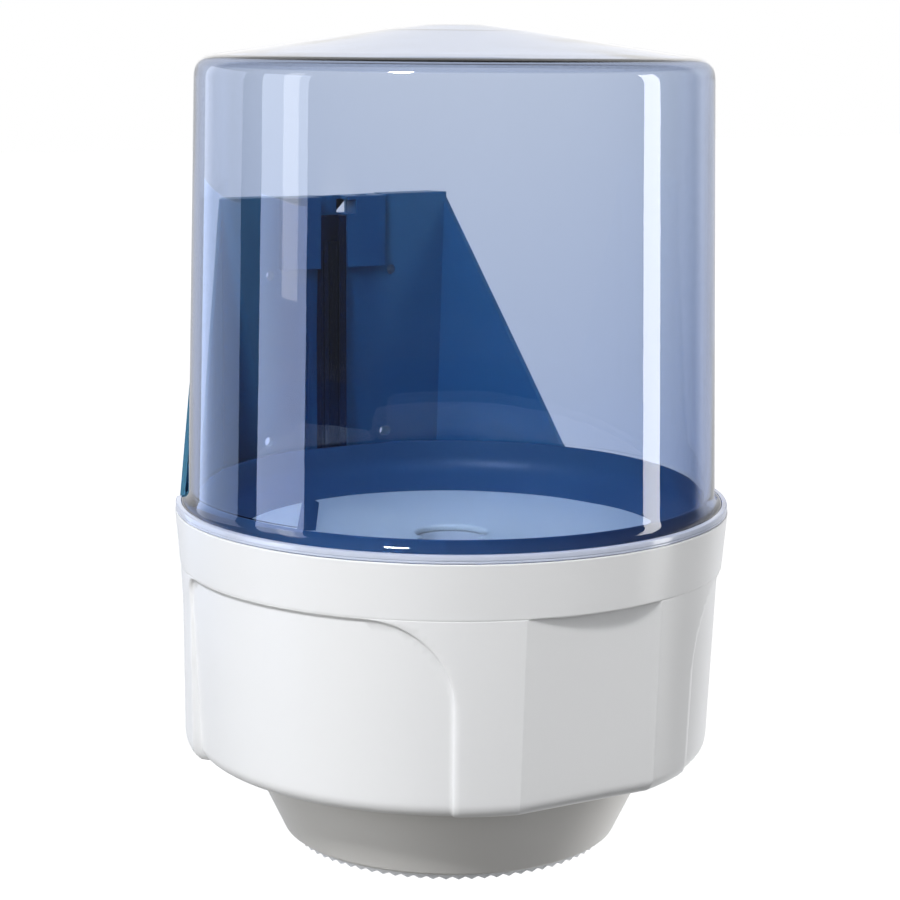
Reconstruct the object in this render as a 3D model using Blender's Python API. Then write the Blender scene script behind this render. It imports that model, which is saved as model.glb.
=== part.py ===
# Centrefeed roll dispenser: a roll stands under a clear cover, and its paper is drawn down through the neck.
# The world's origin is on the wall, level with the casing's rim. +Z is up and -Y is the front.
# Pieces are drawn about the roll's upright axis, where +X is right and +Y is towards the wall.
import math

import bmesh
import bpy
import numpy as np
from mathutils import Vector

# Driving dimensions, in metres. Everything round the roll follows the rim's radius.
rim_radius = 0.1225
rim_wall = 0.0012
wall_standoff = 0.0045
roll_axis_to_wall = rim_radius + wall_standoff
running_gap = 0.0003
overrun = 0.0010
merge_gap = 0.000001

# Plan of the casing and the tray: a circle, then two straight flanks back to the wall
tangent_angle = 122.2
ring_steps = 64
flank_shares = (0.22, 0.42, 0.60, 0.80, 1.0)
back_shares = (0.10, 0.20, 0.30, 0.40, 0.50, 0.60, 0.70, 0.80, 0.90)

# Casing
band_draft = 0.0019
band_low_radius = rim_radius - band_draft
band_low_z = -0.0243
band_step = 0.0004
shield_top_radius = band_low_radius - band_step
shield_draft = 0.0031
shield_low_radius = shield_top_radius - shield_draft
flank_inset = 0.0007
flank_radius = shield_top_radius - flank_inset
panel_depth = 0.0015
panel_slope_height = 0.0008
panel_front_angle = 29.6
panel_rear_angle = 98.9
panel_edge_angle = 0.30
panel_drop = 0.0010
panel_top_z = band_low_z - panel_drop
panel_front_corner = 0.0350
panel_rear_corner = 0.0060
front_corner_shares = (0.08, 0.18, 0.32, 0.50, 0.72, 1.0)
rear_corner_shares = (0.0, 0.45, 0.80)
panel_shares = (0.125, 0.25, 0.375, 0.50, 0.625, 0.75, 0.875)
facet_angle = 16.4
facet_shares = (0.0, 0.34, 0.67, 1.0)
shield_shares = (0.33, 0.67)
rear_shares = (0.25, 0.50, 0.72)
casing_height = 0.1080
casing_base_z = -casing_height
casing_base_in = 0.0040
casing_turn_in = 0.0010
casing_turn_height = 0.0011
casing_turn_z = casing_base_z + casing_turn_height
casing_skirt_z = casing_base_z + casing_base_in
casing_wall = 0.0025
back_wall = 0.0025
shelf_width = 0.0087
shelf_radius = rim_radius - shelf_width
shelf_thickness = 0.0023
shelf_gusset_drop = 0.0026

# Roll tray and floor
tray_top_z = -0.0029
tray_deck_thickness = 0.0024
bowl_step = 0.0008
bowl_top_radius = shelf_radius - bowl_step
bowl_wall = 0.0022
bowl_run = 0.0169
bowl_depth = 0.0110
floor_radius = bowl_top_radius - bowl_run
floor_top_z = tray_top_z - bowl_depth
floor_thickness = 0.0031
ledge_width = 0.0061
floor_ledge_radius = floor_radius - ledge_width
floor_ledge_thickness = 0.0025

# Paper's way
floor_hole_radius = 0.0160
floor_hole_round = 0.0014
guide_flange_width = 0.0140
guide_flange_radius = floor_hole_radius + guide_flange_width
guide_flange_thickness = 0.0022
guide_throat_in = 0.0030
guide_throat_radius = floor_hole_radius - guide_throat_in
guide_throat_drop = 0.0130
guide_mouth_in = 0.0065
guide_mouth_radius = floor_hole_radius - guide_mouth_in
guide_length = 0.0330
guide_wall = 0.0022

# Neck and its toothed ring
neck_margin = 0.0116
neck_flange_radius = shield_low_radius - casing_wall - neck_margin
neck_flange_width = 0.0101
neck_radius = neck_flange_radius - neck_flange_width
neck_taper = 0.0177
neck_low_radius = neck_radius - neck_taper
neck_drop = 0.0383
neck_low_z = casing_base_z - neck_drop
neck_lip_in = 0.0020
neck_lip_radius = neck_low_radius - neck_lip_in
neck_lip_drop = 0.0014
neck_lip_z = neck_low_z - neck_lip_drop
neck_lip_in_share = 0.45
neck_lip_drop_share = 0.72
neck_hole_gap = 0.0007
neck_wall = 0.0026
neck_flange_thickness = 0.0025
lip_width = 0.0013
ring_seat_gap = 0.0003
ring_outer_radius = neck_lip_radius - lip_width - ring_seat_gap
ring_wall = 0.0030
ring_inner_radius = ring_outer_radius - ring_wall
ring_seat_depth = 0.0061
ring_top_z = neck_lip_z + ring_seat_depth
shoulder_depth = 0.0015
shoulder_height = 0.0027
tooth_count = 80
tooth_shares = (0.0, 1.0, 1.0)
tooth_below_lip = 0.0005
tooth_valley_z = neck_lip_z - tooth_below_lip
tooth_length = 0.0018
tooth_tip_z = tooth_valley_z - tooth_length
tooth_lean = 0.0010

# Cover
flange_radius = rim_radius - rim_wall - running_gap
flange_width = 0.0044
flange_thickness = 0.0018
flange_top_z = -0.0008
cover_foot_radius = flange_radius - flange_width
cover_draft = 0.0046
cover_top_radius = cover_foot_radius - cover_draft
cover_wall = 0.0026
cover_foot_z = 0.0080
crown_z = 0.2102
crown_flat_radius = 0.0128
crown_ring_radius = 0.0310
crown_ring_drop = 0.0022
crown_ring_z = crown_z - crown_ring_drop
cover_rim_in = 0.0031
cover_rim_radius = cover_top_radius - cover_rim_in
cover_rim_drop = 0.01385
cover_rim_z = crown_z - cover_rim_drop
cover_round_height = 0.00405
cover_shoulder_z = cover_rim_z - cover_round_height
rim_out_shares = (0.61, 0.93)
rim_down_shares = (0.24, 0.60)
foot_out_shares = (0.06, 0.28, 0.65)
foot_up_shares = (0.62, 0.28, 0.08)
inner_rim_in_share = 0.90
inner_rim_drop_share = 1.05
land_depth = 0.0036
cover_land = cover_foot_radius - land_depth

# Back body
body_outer = flange_radius
body_lean = 1.35
body_wall = 0.0020
body_top_z = 0.1285
body_cut_share = 0.4934
body_cut_start = body_outer * body_cut_share
body_cut_angle = 65.25
foot_clearance = 0.0012
foot_inner = cover_foot_radius + foot_clearance
foot_top_z = 0.0
panel_top_depth = 0.0103
panel_low_depth = 0.0043
panel_top_y = roll_axis_to_wall - panel_top_depth
panel_low_y = roll_axis_to_wall - panel_low_depth
panel_wall = 0.0025
panel_knee_z = 0.0040
spine_half_width = 0.0120
boss_radius = 0.0055
wall_hole_radius = 0.0024
wall_hole_low_z = 0.0110
wall_hole_high_drop = 0.0370
wall_hole_high_z = body_top_z - wall_hole_high_drop

# Guide rail and the rib that runs in it
rail_half_width = 0.0070
rail_standoff = 0.0048
rail_back_y = roll_axis_to_wall - rail_standoff
rail_depth = 0.0070
rail_front_y = rail_back_y - rail_depth
rail_low_z = 0.0035
rail_top_drop = 0.0095
rail_top_z = body_top_z - rail_top_drop
rail_lip = 0.0016
rail_mouth_half = 0.0031
rail_room_half = 0.0053
rail_room_depth = 0.0034
rail_bite_share = 0.60
rib_base_half = 0.0060
rib_base_thickness = 0.0015
rib_neck_half = 0.0024
rib_head_half = 0.0046
rib_low_z = 0.0060
rib_gap = 0.0005

# Lock
housing_half_width = 0.0285
hole_beside_housing = 0.0055
wall_hole_x = housing_half_width + hole_beside_housing
housing_proud = 0.0010
housing_front_y = rail_front_y - housing_proud
housing_top_drop = 0.0003
housing_top_z = body_top_z - housing_top_drop
housing_height = 0.0342
housing_low_z = housing_top_z - housing_height
plate_room = 0.0030
housing_back_y = roll_axis_to_wall - plate_room
window_gap = 0.0004
plate_thickness = 0.0024
bolt_gap = 0.0004
bolt_above_floor = 0.0110
bolt_low_z = housing_low_z + bolt_above_floor
bolt_height = 0.0100
bolt_front_y = rail_front_y + rail_lip + bolt_gap
bolt_depth = 0.0066
bolt_length = 0.0090
bolt_travel = 0.0032
bolt_end_wall = 0.0038
bolt_left_x = housing_half_width - bolt_end_wall - bolt_travel - bolt_length
nose_height = 0.0050
nose_low_z = bolt_low_z + (bolt_height - nose_height) / 2
nose_depth = 0.0022
nose_beside_rib = 0.0009
nose_tip_x = rib_head_half + nose_beside_rib
nose_length = bolt_left_x + bolt_travel - nose_tip_x
rib_top_z = nose_low_z - rib_gap
key_slot_inset = 0.0027
key_slot_left = bolt_left_x + key_slot_inset
key_slot_width = 0.0060
key_slot_depth = 0.0050
peep_left_x = 0.0056
peep_width = 0.0065
peep_right_x = peep_left_x + peep_width
peep_top_drop = 0.0021
peep_height = 0.0066
peep_top_z = body_top_z - peep_top_drop
peep_low_z = peep_top_z - peep_height

# Screws
screw_shank_radius = 0.0014
screw_hole_gap = 0.0002
screw_head_radius = 0.0027
screw_head_height = 0.0016
screw_crown_share = 0.72
screw_recess_radius = 0.0011
screw_recess_depth = 0.0009
screw_recess_share = 0.60
screw_gap = 0.0003
screw_face_depth = 0.0002
screw_sides = 12
corner_screw_inset = 0.0048
corner_screw_from_wall = 0.0170
middle_screw_x = 0.0300
middle_screw_from_wall = 0.0080
foot_cover = 0.0008
body_screw_top_z = foot_top_z - foot_cover
neck_screw_inset = 0.0048
neck_screw_circle = neck_flange_radius - neck_screw_inset
guide_screw_inset = 0.0045
guide_screw_circle = guide_flange_radius - guide_screw_inset
floor_bite_share = 0.60
plate_screw_inset = 0.0105
plate_screw_x = housing_half_width - plate_screw_inset
plate_screw_rise = 0.0050
plate_screw_z = housing_low_z + plate_screw_rise
rail_screw_low_z = 0.0200
rail_screw_high_drop = 0.0485
rail_screw_high_z = body_top_z - rail_screw_high_drop


def clear_scene():
    for thing in list(bpy.data.objects):
        bpy.data.objects.remove(thing, do_unlink=True)


def plastic(name, colour, roughness, alpha=1.0):
    made = bpy.data.materials.new(name)
    made.use_nodes = True
    shader = made.node_tree.nodes["Principled BSDF"]
    shader.inputs["Base Color"].default_value = (*colour, 1.0)
    shader.inputs["Roughness"].default_value = roughness
    shader.inputs["Alpha"].default_value = alpha
    return made


def steel(name):
    made = plastic(name, (0.62, 0.62, 0.64), 0.32)
    made.node_tree.nodes["Principled BSDF"].inputs["Metallic"].default_value = 1.0
    return made


def piece(name, build, finish, place=None, smooth=True):
    """A new object whose mesh is what build leaves in a bmesh, with its faces pointing out."""
    shape = bmesh.new()
    build(shape)
    bmesh.ops.remove_doubles(shape, verts=shape.verts, dist=merge_gap)
    bmesh.ops.recalc_face_normals(shape, faces=shape.faces)
    mesh = bpy.data.meshes.new(name)
    shape.to_mesh(mesh)
    shape.free()
    if smooth:
        mesh.shade_smooth()
        mesh.set_sharp_from_angle(angle=math.radians(30))
    made = bpy.data.objects.new(name, mesh)
    bpy.context.scene.collection.objects.link(made)
    made.parent = place or bpy.data.objects["roll_axis"]
    if finish:
        made.data.materials.append(finish)
    return made


def helper(name, build):
    """A cutter or a shape to be joined, which isn't a piece itself."""
    made = piece(name, build, None, smooth=False)
    made.hide_render = True
    made.display_type = "WIRE"
    return made


def loft(sections, round_trip):
    """Builds a skin over closed sections that all have the same number of points."""

    def build(shape):
        loops = [[shape.verts.new(point) for point in section] for section in sections]
        following = loops[1:] + loops[:1] if round_trip else loops[1:]
        for here, there in zip(loops, following):
            for i in range(len(here)):
                j = (i + 1) % len(here)
                shape.faces.new((here[i], here[j], there[j], there[i]))
        if not round_trip:
            shape.faces.new(loops[0])
            shape.faces.new(loops[-1])

    return build


def turned(profile, steps=ring_steps):
    """A closed profile of (radius, z) turned about the axis."""
    angles = [360.0 * i / steps for i in range(steps)]
    return loft([[polar(r, angle, z) for r, z in profile] for angle in angles], True)


def hull(points):
    def build(shape):
        for point in points:
            shape.verts.new(point)
        bmesh.ops.convex_hull(shape, input=shape.verts)

    return build


def block(low, high):
    return hull([(x, y, z) for x in (low[0], high[0]) for y in (low[1], high[1]) for z in (low[2], high[2])])


def rod(centre, direction, radius, low, high, sides=screw_sides):
    """A cylinder along direction, from low to high beyond centre."""
    turn = Vector((0, 0, 1)).rotation_difference(Vector(direction)).to_matrix()
    points = []
    for reach in (low, high):
        for i in range(sides):
            angle = 2 * math.pi * i / sides
            spoke = Vector((radius * math.cos(angle), radius * math.sin(angle), reach))
            points.append(Vector(centre) + turn @ spoke)
    return hull(points)


def polar(radius, angle, z):
    """A point at this many degrees from the front, towards +X."""
    turn = math.radians(angle)
    return Vector((radius * math.sin(turn), -radius * math.cos(turn), z))


def polar_angle(point):
    return math.degrees(math.atan2(point[0], -point[1]))


def mix(start, end, share):
    return start + (end - start) * share


def cut(target, cutter):
    change(target, cutter, "DIFFERENCE")


def join(target, added):
    change(target, added, "UNION")


def change(target, other, operation):
    modifier = target.modifiers.new(other.name, "BOOLEAN")
    modifier.operation = operation
    modifier.solver = "EXACT"
    modifier.object = other


# The D-shaped plan

def flank_corner(side, radius, from_wall):
    """Where a flank that lies this far off the axis meets a line this far off the wall."""
    turn = math.radians(180 - tangent_angle)
    y = roll_axis_to_wall - from_wall
    return Vector((side * (radius - y * math.cos(turn)) / math.sin(turn), y, 0))


def outline_point(station, radius, from_wall, z):
    """A point of the plan: a station is (part, value), where part is arc, flank or back."""
    part, value = station
    if part == "arc":
        return polar(radius, value, z)
    if part == "flank":
        side = math.copysign(1, value)
        start = polar(radius, side * tangent_angle, 0)
        point = mix(start, flank_corner(side, radius, from_wall), abs(value))
    else:
        point = mix(flank_corner(1, radius, from_wall), flank_corner(-1, radius, from_wall), value)
    return Vector((point[0], point[1], z))


def plan_stations(arc_angles):
    """Stations in order: the arc from left to right, the right flank, the back, and the left flank."""
    arcs = [("arc", angle) for angle in arc_angles]
    right = [("flank", share) for share in flank_shares]
    back = [("back", share) for share in back_shares]
    left = [("flank", -share) for share in reversed(flank_shares)]
    return arcs + right + back + left


def even_angles(limit, step):
    count = round(2 * limit / step)
    return [mix(-limit, limit, i / count) for i in range(count + 1)]


def hole_point(station, radius, z):
    """The point of a round hole that faces this station."""
    return polar(radius, polar_angle(outline_point(station, rim_radius, 0, 0)), z)


# Casing

def casing_angles():
    """Angles that meet each edge of the facet and of the panels, and follow the panels' corners."""
    corner_end = panel_front_angle + math.degrees(panel_front_corner / shield_top_radius)
    rear_start = panel_rear_angle - math.degrees(panel_rear_corner / shield_top_radius)
    half = [mix(0, facet_angle, share) for share in facet_shares]
    half += [mix(facet_angle, panel_front_angle, share) for share in shield_shares]
    half += [panel_front_angle, panel_front_angle + panel_edge_angle]
    half += [mix(panel_front_angle, corner_end, share) for share in front_corner_shares]
    half += [mix(corner_end, rear_start, share) for share in panel_shares]
    half += [mix(rear_start, panel_rear_angle, share) for share in rear_corner_shares]
    half += [panel_rear_angle - panel_edge_angle, panel_rear_angle]
    half += [mix(panel_rear_angle, tangent_angle, share) for share in rear_shares]
    half += [wing_start_angle(), tangent_angle]
    return [-angle for angle in reversed(half[1:])] + half


def wing_start_angle():
    return 180 - math.degrees(math.acos(body_cut_start / body_outer))


def in_panel(angle):
    return panel_front_angle < abs(angle) < panel_rear_angle


def panel_top(angle):
    """The height of the panel's upper edge, with its round corners."""
    from_front = math.radians(abs(angle) - panel_front_angle) * shield_top_radius
    from_rear = math.radians(panel_rear_angle - abs(angle)) * shield_top_radius
    if not in_panel(angle):
        return panel_top_z - (panel_front_corner if from_front <= 0 else panel_rear_corner)
    drop = 0
    for reach, corner in ((from_front, panel_front_corner), (from_rear, panel_rear_corner)):
        if reach < corner:
            drop = max(drop, corner - math.sqrt(corner**2 - (corner - reach) ** 2))
    return panel_top_z - drop


def skirt_radius(z):
    share = (z - band_low_z) / (casing_skirt_z - band_low_z)
    return mix(shield_top_radius, shield_low_radius, share)


def skin_radius(angle, z, recessed):
    """The casing's outside below the band: shield, facet, panel or rear flank."""
    if abs(angle) > panel_rear_angle:
        return flank_radius
    radius = skirt_radius(z)
    if abs(angle) < facet_angle:
        return radius * math.cos(math.radians(facet_angle)) / math.cos(math.radians(angle))
    return radius - panel_depth if recessed and in_panel(angle) else radius


def casing_section(station):
    part, value = station
    angle = value if part == "arc" else math.copysign(tangent_angle, value)
    behind = part == "back" or abs(value) == 1.0 and part == "flank"
    step_z = band_low_z - band_step
    edge_z = panel_top(angle)
    low_z = edge_z - panel_slope_height
    rim_z = tray_top_z if behind else 0
    shelf_z = tray_top_z - tray_deck_thickness - running_gap
    shelf_low_z = shelf_z - shelf_thickness
    base = skin_radius(angle, casing_skirt_z, True)
    inner_top = skin_radius(angle, step_z, False) - casing_wall if abs(angle) < facet_angle else None
    inner_top = inner_top or skin_radius(angle, step_z, True) - casing_wall

    def at(radius, z, from_wall=0.0):
        return outline_point(station, radius, from_wall, z)

    outside = [
        at(rim_radius, rim_z),
        at(band_low_radius, band_low_z),
        at(skin_radius(angle, step_z, False), step_z),
        at(skin_radius(angle, edge_z, False), edge_z),
        at(skin_radius(angle, low_z, True), low_z),
        at(base, casing_skirt_z),
        at(base - casing_turn_in, casing_turn_z),
        at(base - casing_base_in, casing_base_z, casing_turn_in),
    ]
    hole = neck_radius + neck_hole_gap
    inside = [
        hole_point(station, hole, casing_base_z),
        hole_point(station, hole, casing_base_z + casing_wall),
        at(base - casing_wall, casing_base_z + casing_wall, back_wall),
        at(inner_top, step_z, back_wall),
        at(band_low_radius - casing_wall, band_low_z + casing_wall, back_wall),
        at(rim_radius - casing_wall - rim_wall, shelf_low_z - shelf_gusset_drop, back_wall),
        hole_point(station, shelf_radius, shelf_low_z),
        hole_point(station, shelf_radius, shelf_z),
        at(rim_radius - rim_wall, shelf_z, rim_wall),
        at(rim_radius - rim_wall, rim_z, rim_wall),
    ]
    return outside + inside


def make_casing(finish):
    stations = plan_stations(casing_angles())
    return piece("casing", loft([casing_section(station) for station in stations], True), finish)


# Roll tray and floor

def tray_section(station):
    edge = rim_radius - rim_wall - running_gap
    deck_low_z = tray_top_z - tray_deck_thickness
    slope = (bowl_top_radius - floor_radius - running_gap) / (tray_top_z - floor_top_z)
    lean = math.hypot(1, slope)
    under = bowl_wall * lean
    low_z = floor_top_z - bowl_wall / lean
    seat_radius = floor_radius + running_gap
    ledge_z = floor_top_z - floor_thickness - running_gap
    ledge_low_z = ledge_z - floor_ledge_thickness

    def round_at(radius, z):
        return hole_point(station, radius, z)

    return [
        outline_point(station, edge, rim_wall + running_gap, tray_top_z),
        outline_point(station, edge, rim_wall + running_gap, deck_low_z),
        round_at(bowl_top_radius + slope * (deck_low_z - tray_top_z) + under / lean, deck_low_z),
        round_at(seat_radius + bowl_wall, low_z),
        round_at(seat_radius + bowl_wall, ledge_low_z),
        round_at(floor_ledge_radius, ledge_low_z),
        round_at(floor_ledge_radius, ledge_z),
        round_at(seat_radius, ledge_z),
        round_at(seat_radius, floor_top_z),
        round_at(bowl_top_radius, tray_top_z),
    ]


def make_tray(finish):
    stations = plan_stations(even_angles(tangent_angle, 360 / ring_steps))
    return piece("roll_tray", loft([tray_section(station) for station in stations], True), finish)


def make_floor(finish):
    low_z = floor_top_z - floor_thickness
    profile = [
        (floor_radius, floor_top_z),
        (floor_radius, low_z),
        (floor_hole_radius, low_z),
        (floor_hole_radius, floor_top_z - floor_hole_round),
        (floor_hole_radius + floor_hole_round, floor_top_z),
    ]
    return piece("floor_plate", turned(profile), finish)


def make_guide(finish):
    top_z = floor_top_z - floor_thickness - running_gap
    flange_low_z = top_z - guide_flange_thickness
    throat_z = top_z - guide_throat_drop
    mouth_z = top_z - guide_length
    profile = [
        (floor_hole_radius, top_z),
        (guide_throat_radius, throat_z),
        (guide_mouth_radius, mouth_z + guide_wall / 2),
        (guide_mouth_radius + guide_wall / 3, mouth_z),
        (guide_mouth_radius + guide_wall, mouth_z + guide_wall / 3),
        (guide_throat_radius + guide_wall, throat_z),
        (floor_hole_radius + guide_wall, flange_low_z),
        (guide_flange_radius, flange_low_z),
        (guide_flange_radius, top_z),
    ]
    return piece("paper_guide", turned(profile, ring_steps // 2), finish)


# Neck and toothed ring

def make_neck(finish):
    flange_low_z = casing_base_z + casing_wall + running_gap
    neck_top_z = flange_low_z + neck_flange_thickness
    knee_z = casing_base_z - running_gap
    seat = ring_outer_radius + ring_seat_gap
    shoulder_z = ring_top_z + ring_seat_gap
    shoulder_top_z = shoulder_z + shoulder_height
    slope = (neck_radius - neck_low_radius) / (knee_z - neck_low_z)
    flare_z = shoulder_top_z + shoulder_height
    flare_radius = neck_low_radius + slope * (flare_z - neck_low_z) - neck_wall
    profile = [
        (neck_flange_radius, neck_top_z),
        (neck_flange_radius, flange_low_z),
        (neck_radius, flange_low_z),
        (neck_radius, knee_z),
        (neck_low_radius, neck_low_z),
        (neck_low_radius - neck_lip_in * neck_lip_in_share, neck_low_z - neck_lip_drop * neck_lip_drop_share),
        (neck_lip_radius, neck_lip_z),
        (seat, neck_lip_z),
        (seat, shoulder_z),
        (seat - shoulder_depth, shoulder_z),
        (seat - shoulder_depth, shoulder_top_z),
        (flare_radius, flare_z),
        (neck_radius - neck_wall, knee_z),
        (neck_radius - neck_wall, neck_top_z),
    ]
    return piece("neck_cone", turned(profile), finish)


def make_tear_ring(finish):
    sections = []
    for i in range(tooth_count):
        for j, share in enumerate(tooth_shares):
            angle = 360.0 * (i + j / len(tooth_shares)) / tooth_count
            tip_z = mix(tooth_valley_z, tooth_tip_z, share)
            profile = [
                (ring_outer_radius, ring_top_z),
                (ring_outer_radius - tooth_lean, tip_z),
                (ring_inner_radius, tip_z),
                (ring_inner_radius, ring_top_z),
            ]
            sections.append([polar(radius, angle, z) for radius, z in profile])
    return piece("tear_ring", loft(sections, True), finish)


# Cover

def flange_end_angle():
    """The foot flange stops just short of the back body's wings, so the cover can rise between them."""
    clear_y = body_cut_start - overrun * 2
    return 180 - math.degrees(math.acos(clear_y / flange_radius))


def land_angle():
    return 180 - math.degrees(math.acos(cover_land / cover_foot_radius))


def cover_angles():
    special = []
    for edge in (flange_end_angle(), land_angle()):
        special += [edge, -edge]
    special += [flange_end_angle() + panel_edge_angle, -flange_end_angle() - panel_edge_angle]
    step = 360 / ring_steps
    even = [-180 + step * i for i in range(ring_steps)]
    even = [angle for angle in even if min(abs(angle - other) for other in special) > step / 3]
    return sorted(even + special)


def cover_profiles():
    """The outside from the crown down to the foot, and the inside from the foot back up to the crown."""
    draft = (cover_foot_radius - cover_top_radius) / (cover_shoulder_z - cover_foot_z)
    foot_height = cover_foot_z - flange_top_z
    outside = [
        (0, crown_z),
        (crown_flat_radius, crown_z),
        (crown_ring_radius, crown_ring_z),
        (cover_rim_radius, cover_rim_z),
    ]
    for out, down in zip(rim_out_shares, rim_down_shares):
        outside.append((cover_rim_radius + cover_rim_in * out, cover_rim_z - cover_round_height * down))
    outside += [(cover_top_radius, cover_shoulder_z), (cover_foot_radius, cover_foot_z)]
    for out, up in zip(foot_out_shares, foot_up_shares):
        outside.append((cover_foot_radius + flange_width * out, flange_top_z + foot_height * up))
    outside += [(flange_radius, flange_top_z), (flange_radius, flange_top_z - flange_thickness)]
    inner_shoulder_z = cover_shoulder_z - cover_wall / 2
    inside = [
        (cover_foot_radius - cover_wall + draft * foot_height, flange_top_z - flange_thickness),
        (cover_top_radius - cover_wall, inner_shoulder_z),
        (cover_rim_radius - cover_wall * inner_rim_in_share, cover_rim_z - cover_wall * inner_rim_drop_share),
        (crown_ring_radius, crown_ring_z - cover_wall),
        (crown_flat_radius, crown_z - cover_wall),
        (0, crown_z - cover_wall),
    ]
    return outside, inside


def make_cover(finish):
    outside, inside = cover_profiles()
    sections = []
    for angle in cover_angles():
        rear = math.cos(math.radians(180 - angle))
        flanged = abs(angle) <= flange_end_angle()
        outer_limit = rim_radius if flanged else cover_foot_radius
        inner_limit = rim_radius
        if rear > 0:
            outer_limit = min(outer_limit, cover_land / rear)
            inner_limit = (cover_land - cover_wall) / rear
        section = [polar(min(radius, outer_limit), angle, z) for radius, z in outside]
        section += [polar(min(radius, inner_limit), angle, z) for radius, z in inside]
        sections.append(section)

    def build(shape):
        skin = [[shape.verts.new(point) for point in section] for section in sections]
        for here, there in zip(skin, skin[1:] + skin[:1]):
            for i in range(len(here) - 1):
                shape.faces.new((here[i], here[i + 1], there[i + 1], there[i]))

    return piece("cover", build, finish)


def make_rib(finish):
    """A strip of T section on the cover's flat back. Its base lies on the cover and its head runs in the rail."""
    room_y = rail_front_y + rail_lip
    base_y = cover_land + running_gap
    neck_y = base_y + rib_base_thickness
    head_y = room_y + rib_gap
    back_y = room_y + rail_room_depth - rib_gap
    half = [
        (rib_base_half, base_y),
        (rib_base_half, neck_y),
        (rib_neck_half, neck_y),
        (rib_neck_half, head_y),
        (rib_head_half, head_y),
        (rib_head_half, back_y),
    ]
    outline = half + [(-x, y) for x, y in reversed(half)]
    ends = [[Vector((x, y, z)) for x, y in outline] for z in (rib_low_z, rib_top_z)]
    return piece("cover_rib", loft(ends, False), finish, smooth=False)


# Back body, made of flat walls

def flank_plane(side, offset):
    """A wing's plane as (normal, distance): it stands on the flank's line and leans in towards its top."""
    turn = math.radians(180 - tangent_angle)
    lean = math.radians(body_lean)
    level = Vector((side * math.sin(turn), math.cos(turn), 0)) * math.cos(lean)
    return level + Vector((0, 0, math.sin(lean))), offset * math.cos(lean)


def front_cut_plane():
    """The slanted plane that trims the wings, facing the front."""
    turn = math.radians(body_cut_angle)
    normal = Vector((0, -math.sin(turn), math.cos(turn)))
    return normal, normal.dot(Vector((0, body_cut_start, 0)))


def level_plane(z):
    return Vector((0, 0, 1)), z


def back_plane(from_wall=0.0):
    return Vector((0, 1, 0)), roll_axis_to_wall - from_wall


def panel_plane(back=0.0):
    """The back panel's face, which leans towards the front as it rises."""
    slope = (panel_low_y - panel_top_y) / (body_top_z - panel_knee_z)
    normal = Vector((0, 1, slope)).normalized()
    return normal, normal.dot(Vector((0, panel_top_y, body_top_z))) + back


def panel_y(z):
    normal, distance = panel_plane()
    return (distance - normal.z * z) / normal.y


def meet(*planes):
    normals = [list(plane[0]) for plane in planes]
    return Vector(np.linalg.solve(normals, [plane[1] for plane in planes]))


def wing(side):
    planes_u = (flank_plane(side, body_outer), flank_plane(side, body_outer - body_wall))
    planes_v = (front_cut_plane(), back_plane())
    planes_w = (level_plane(foot_top_z - overrun), level_plane(body_top_z))
    return hull([meet(u, v, w) for u in planes_u for v in planes_v for w in planes_w])


def panel_wall_block():
    """The leaning panel, from wing to wing."""
    sides = [flank_plane(side, body_outer - body_wall / 2) for side in (-1, 1)]
    faces = (panel_plane(), panel_plane(panel_wall))
    ends = (level_plane(panel_knee_z), level_plane(body_top_z))
    return hull([meet(u, v, w) for u in sides for v in faces for w in ends])


def panel_base_block():
    """The upright stretch under the leaning panel."""
    half = [meet(flank_plane(side, body_outer - body_wall / 2), back_plane(), level_plane(0)).x for side in (-1, 1)]
    low = (half[0], panel_low_y, tray_top_z + running_gap)
    high = (half[1], roll_axis_to_wall, panel_knee_z + overrun)
    return block(low, high)


def top_block():
    """The body's top edge, from the panel back to the wall."""
    sides = [flank_plane(side, body_outer - body_wall / 2) for side in (-1, 1)]
    faces = (panel_plane(panel_wall / 2), back_plane())
    ends = (level_plane(body_top_z - panel_wall), level_plane(body_top_z))
    return hull([meet(u, v, w) for u in sides for v in faces for w in ends])


def foot_section(station):
    low_z = tray_top_z + running_gap
    outer = [outline_point(station, body_outer, 0.0, z) for z in (foot_top_z, low_z)]
    inner = [hole_point(station, foot_inner, z) for z in (low_z, foot_top_z)]
    return outer + inner


def foot_stations():
    """The foot runs round the back, from wing to wing."""
    start = wing_start_angle()
    before = [("arc", start), ("arc", tangent_angle)]
    after = [("arc", -tangent_angle), ("arc", -start)]
    return before + plan_stations([]) + after


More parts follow.
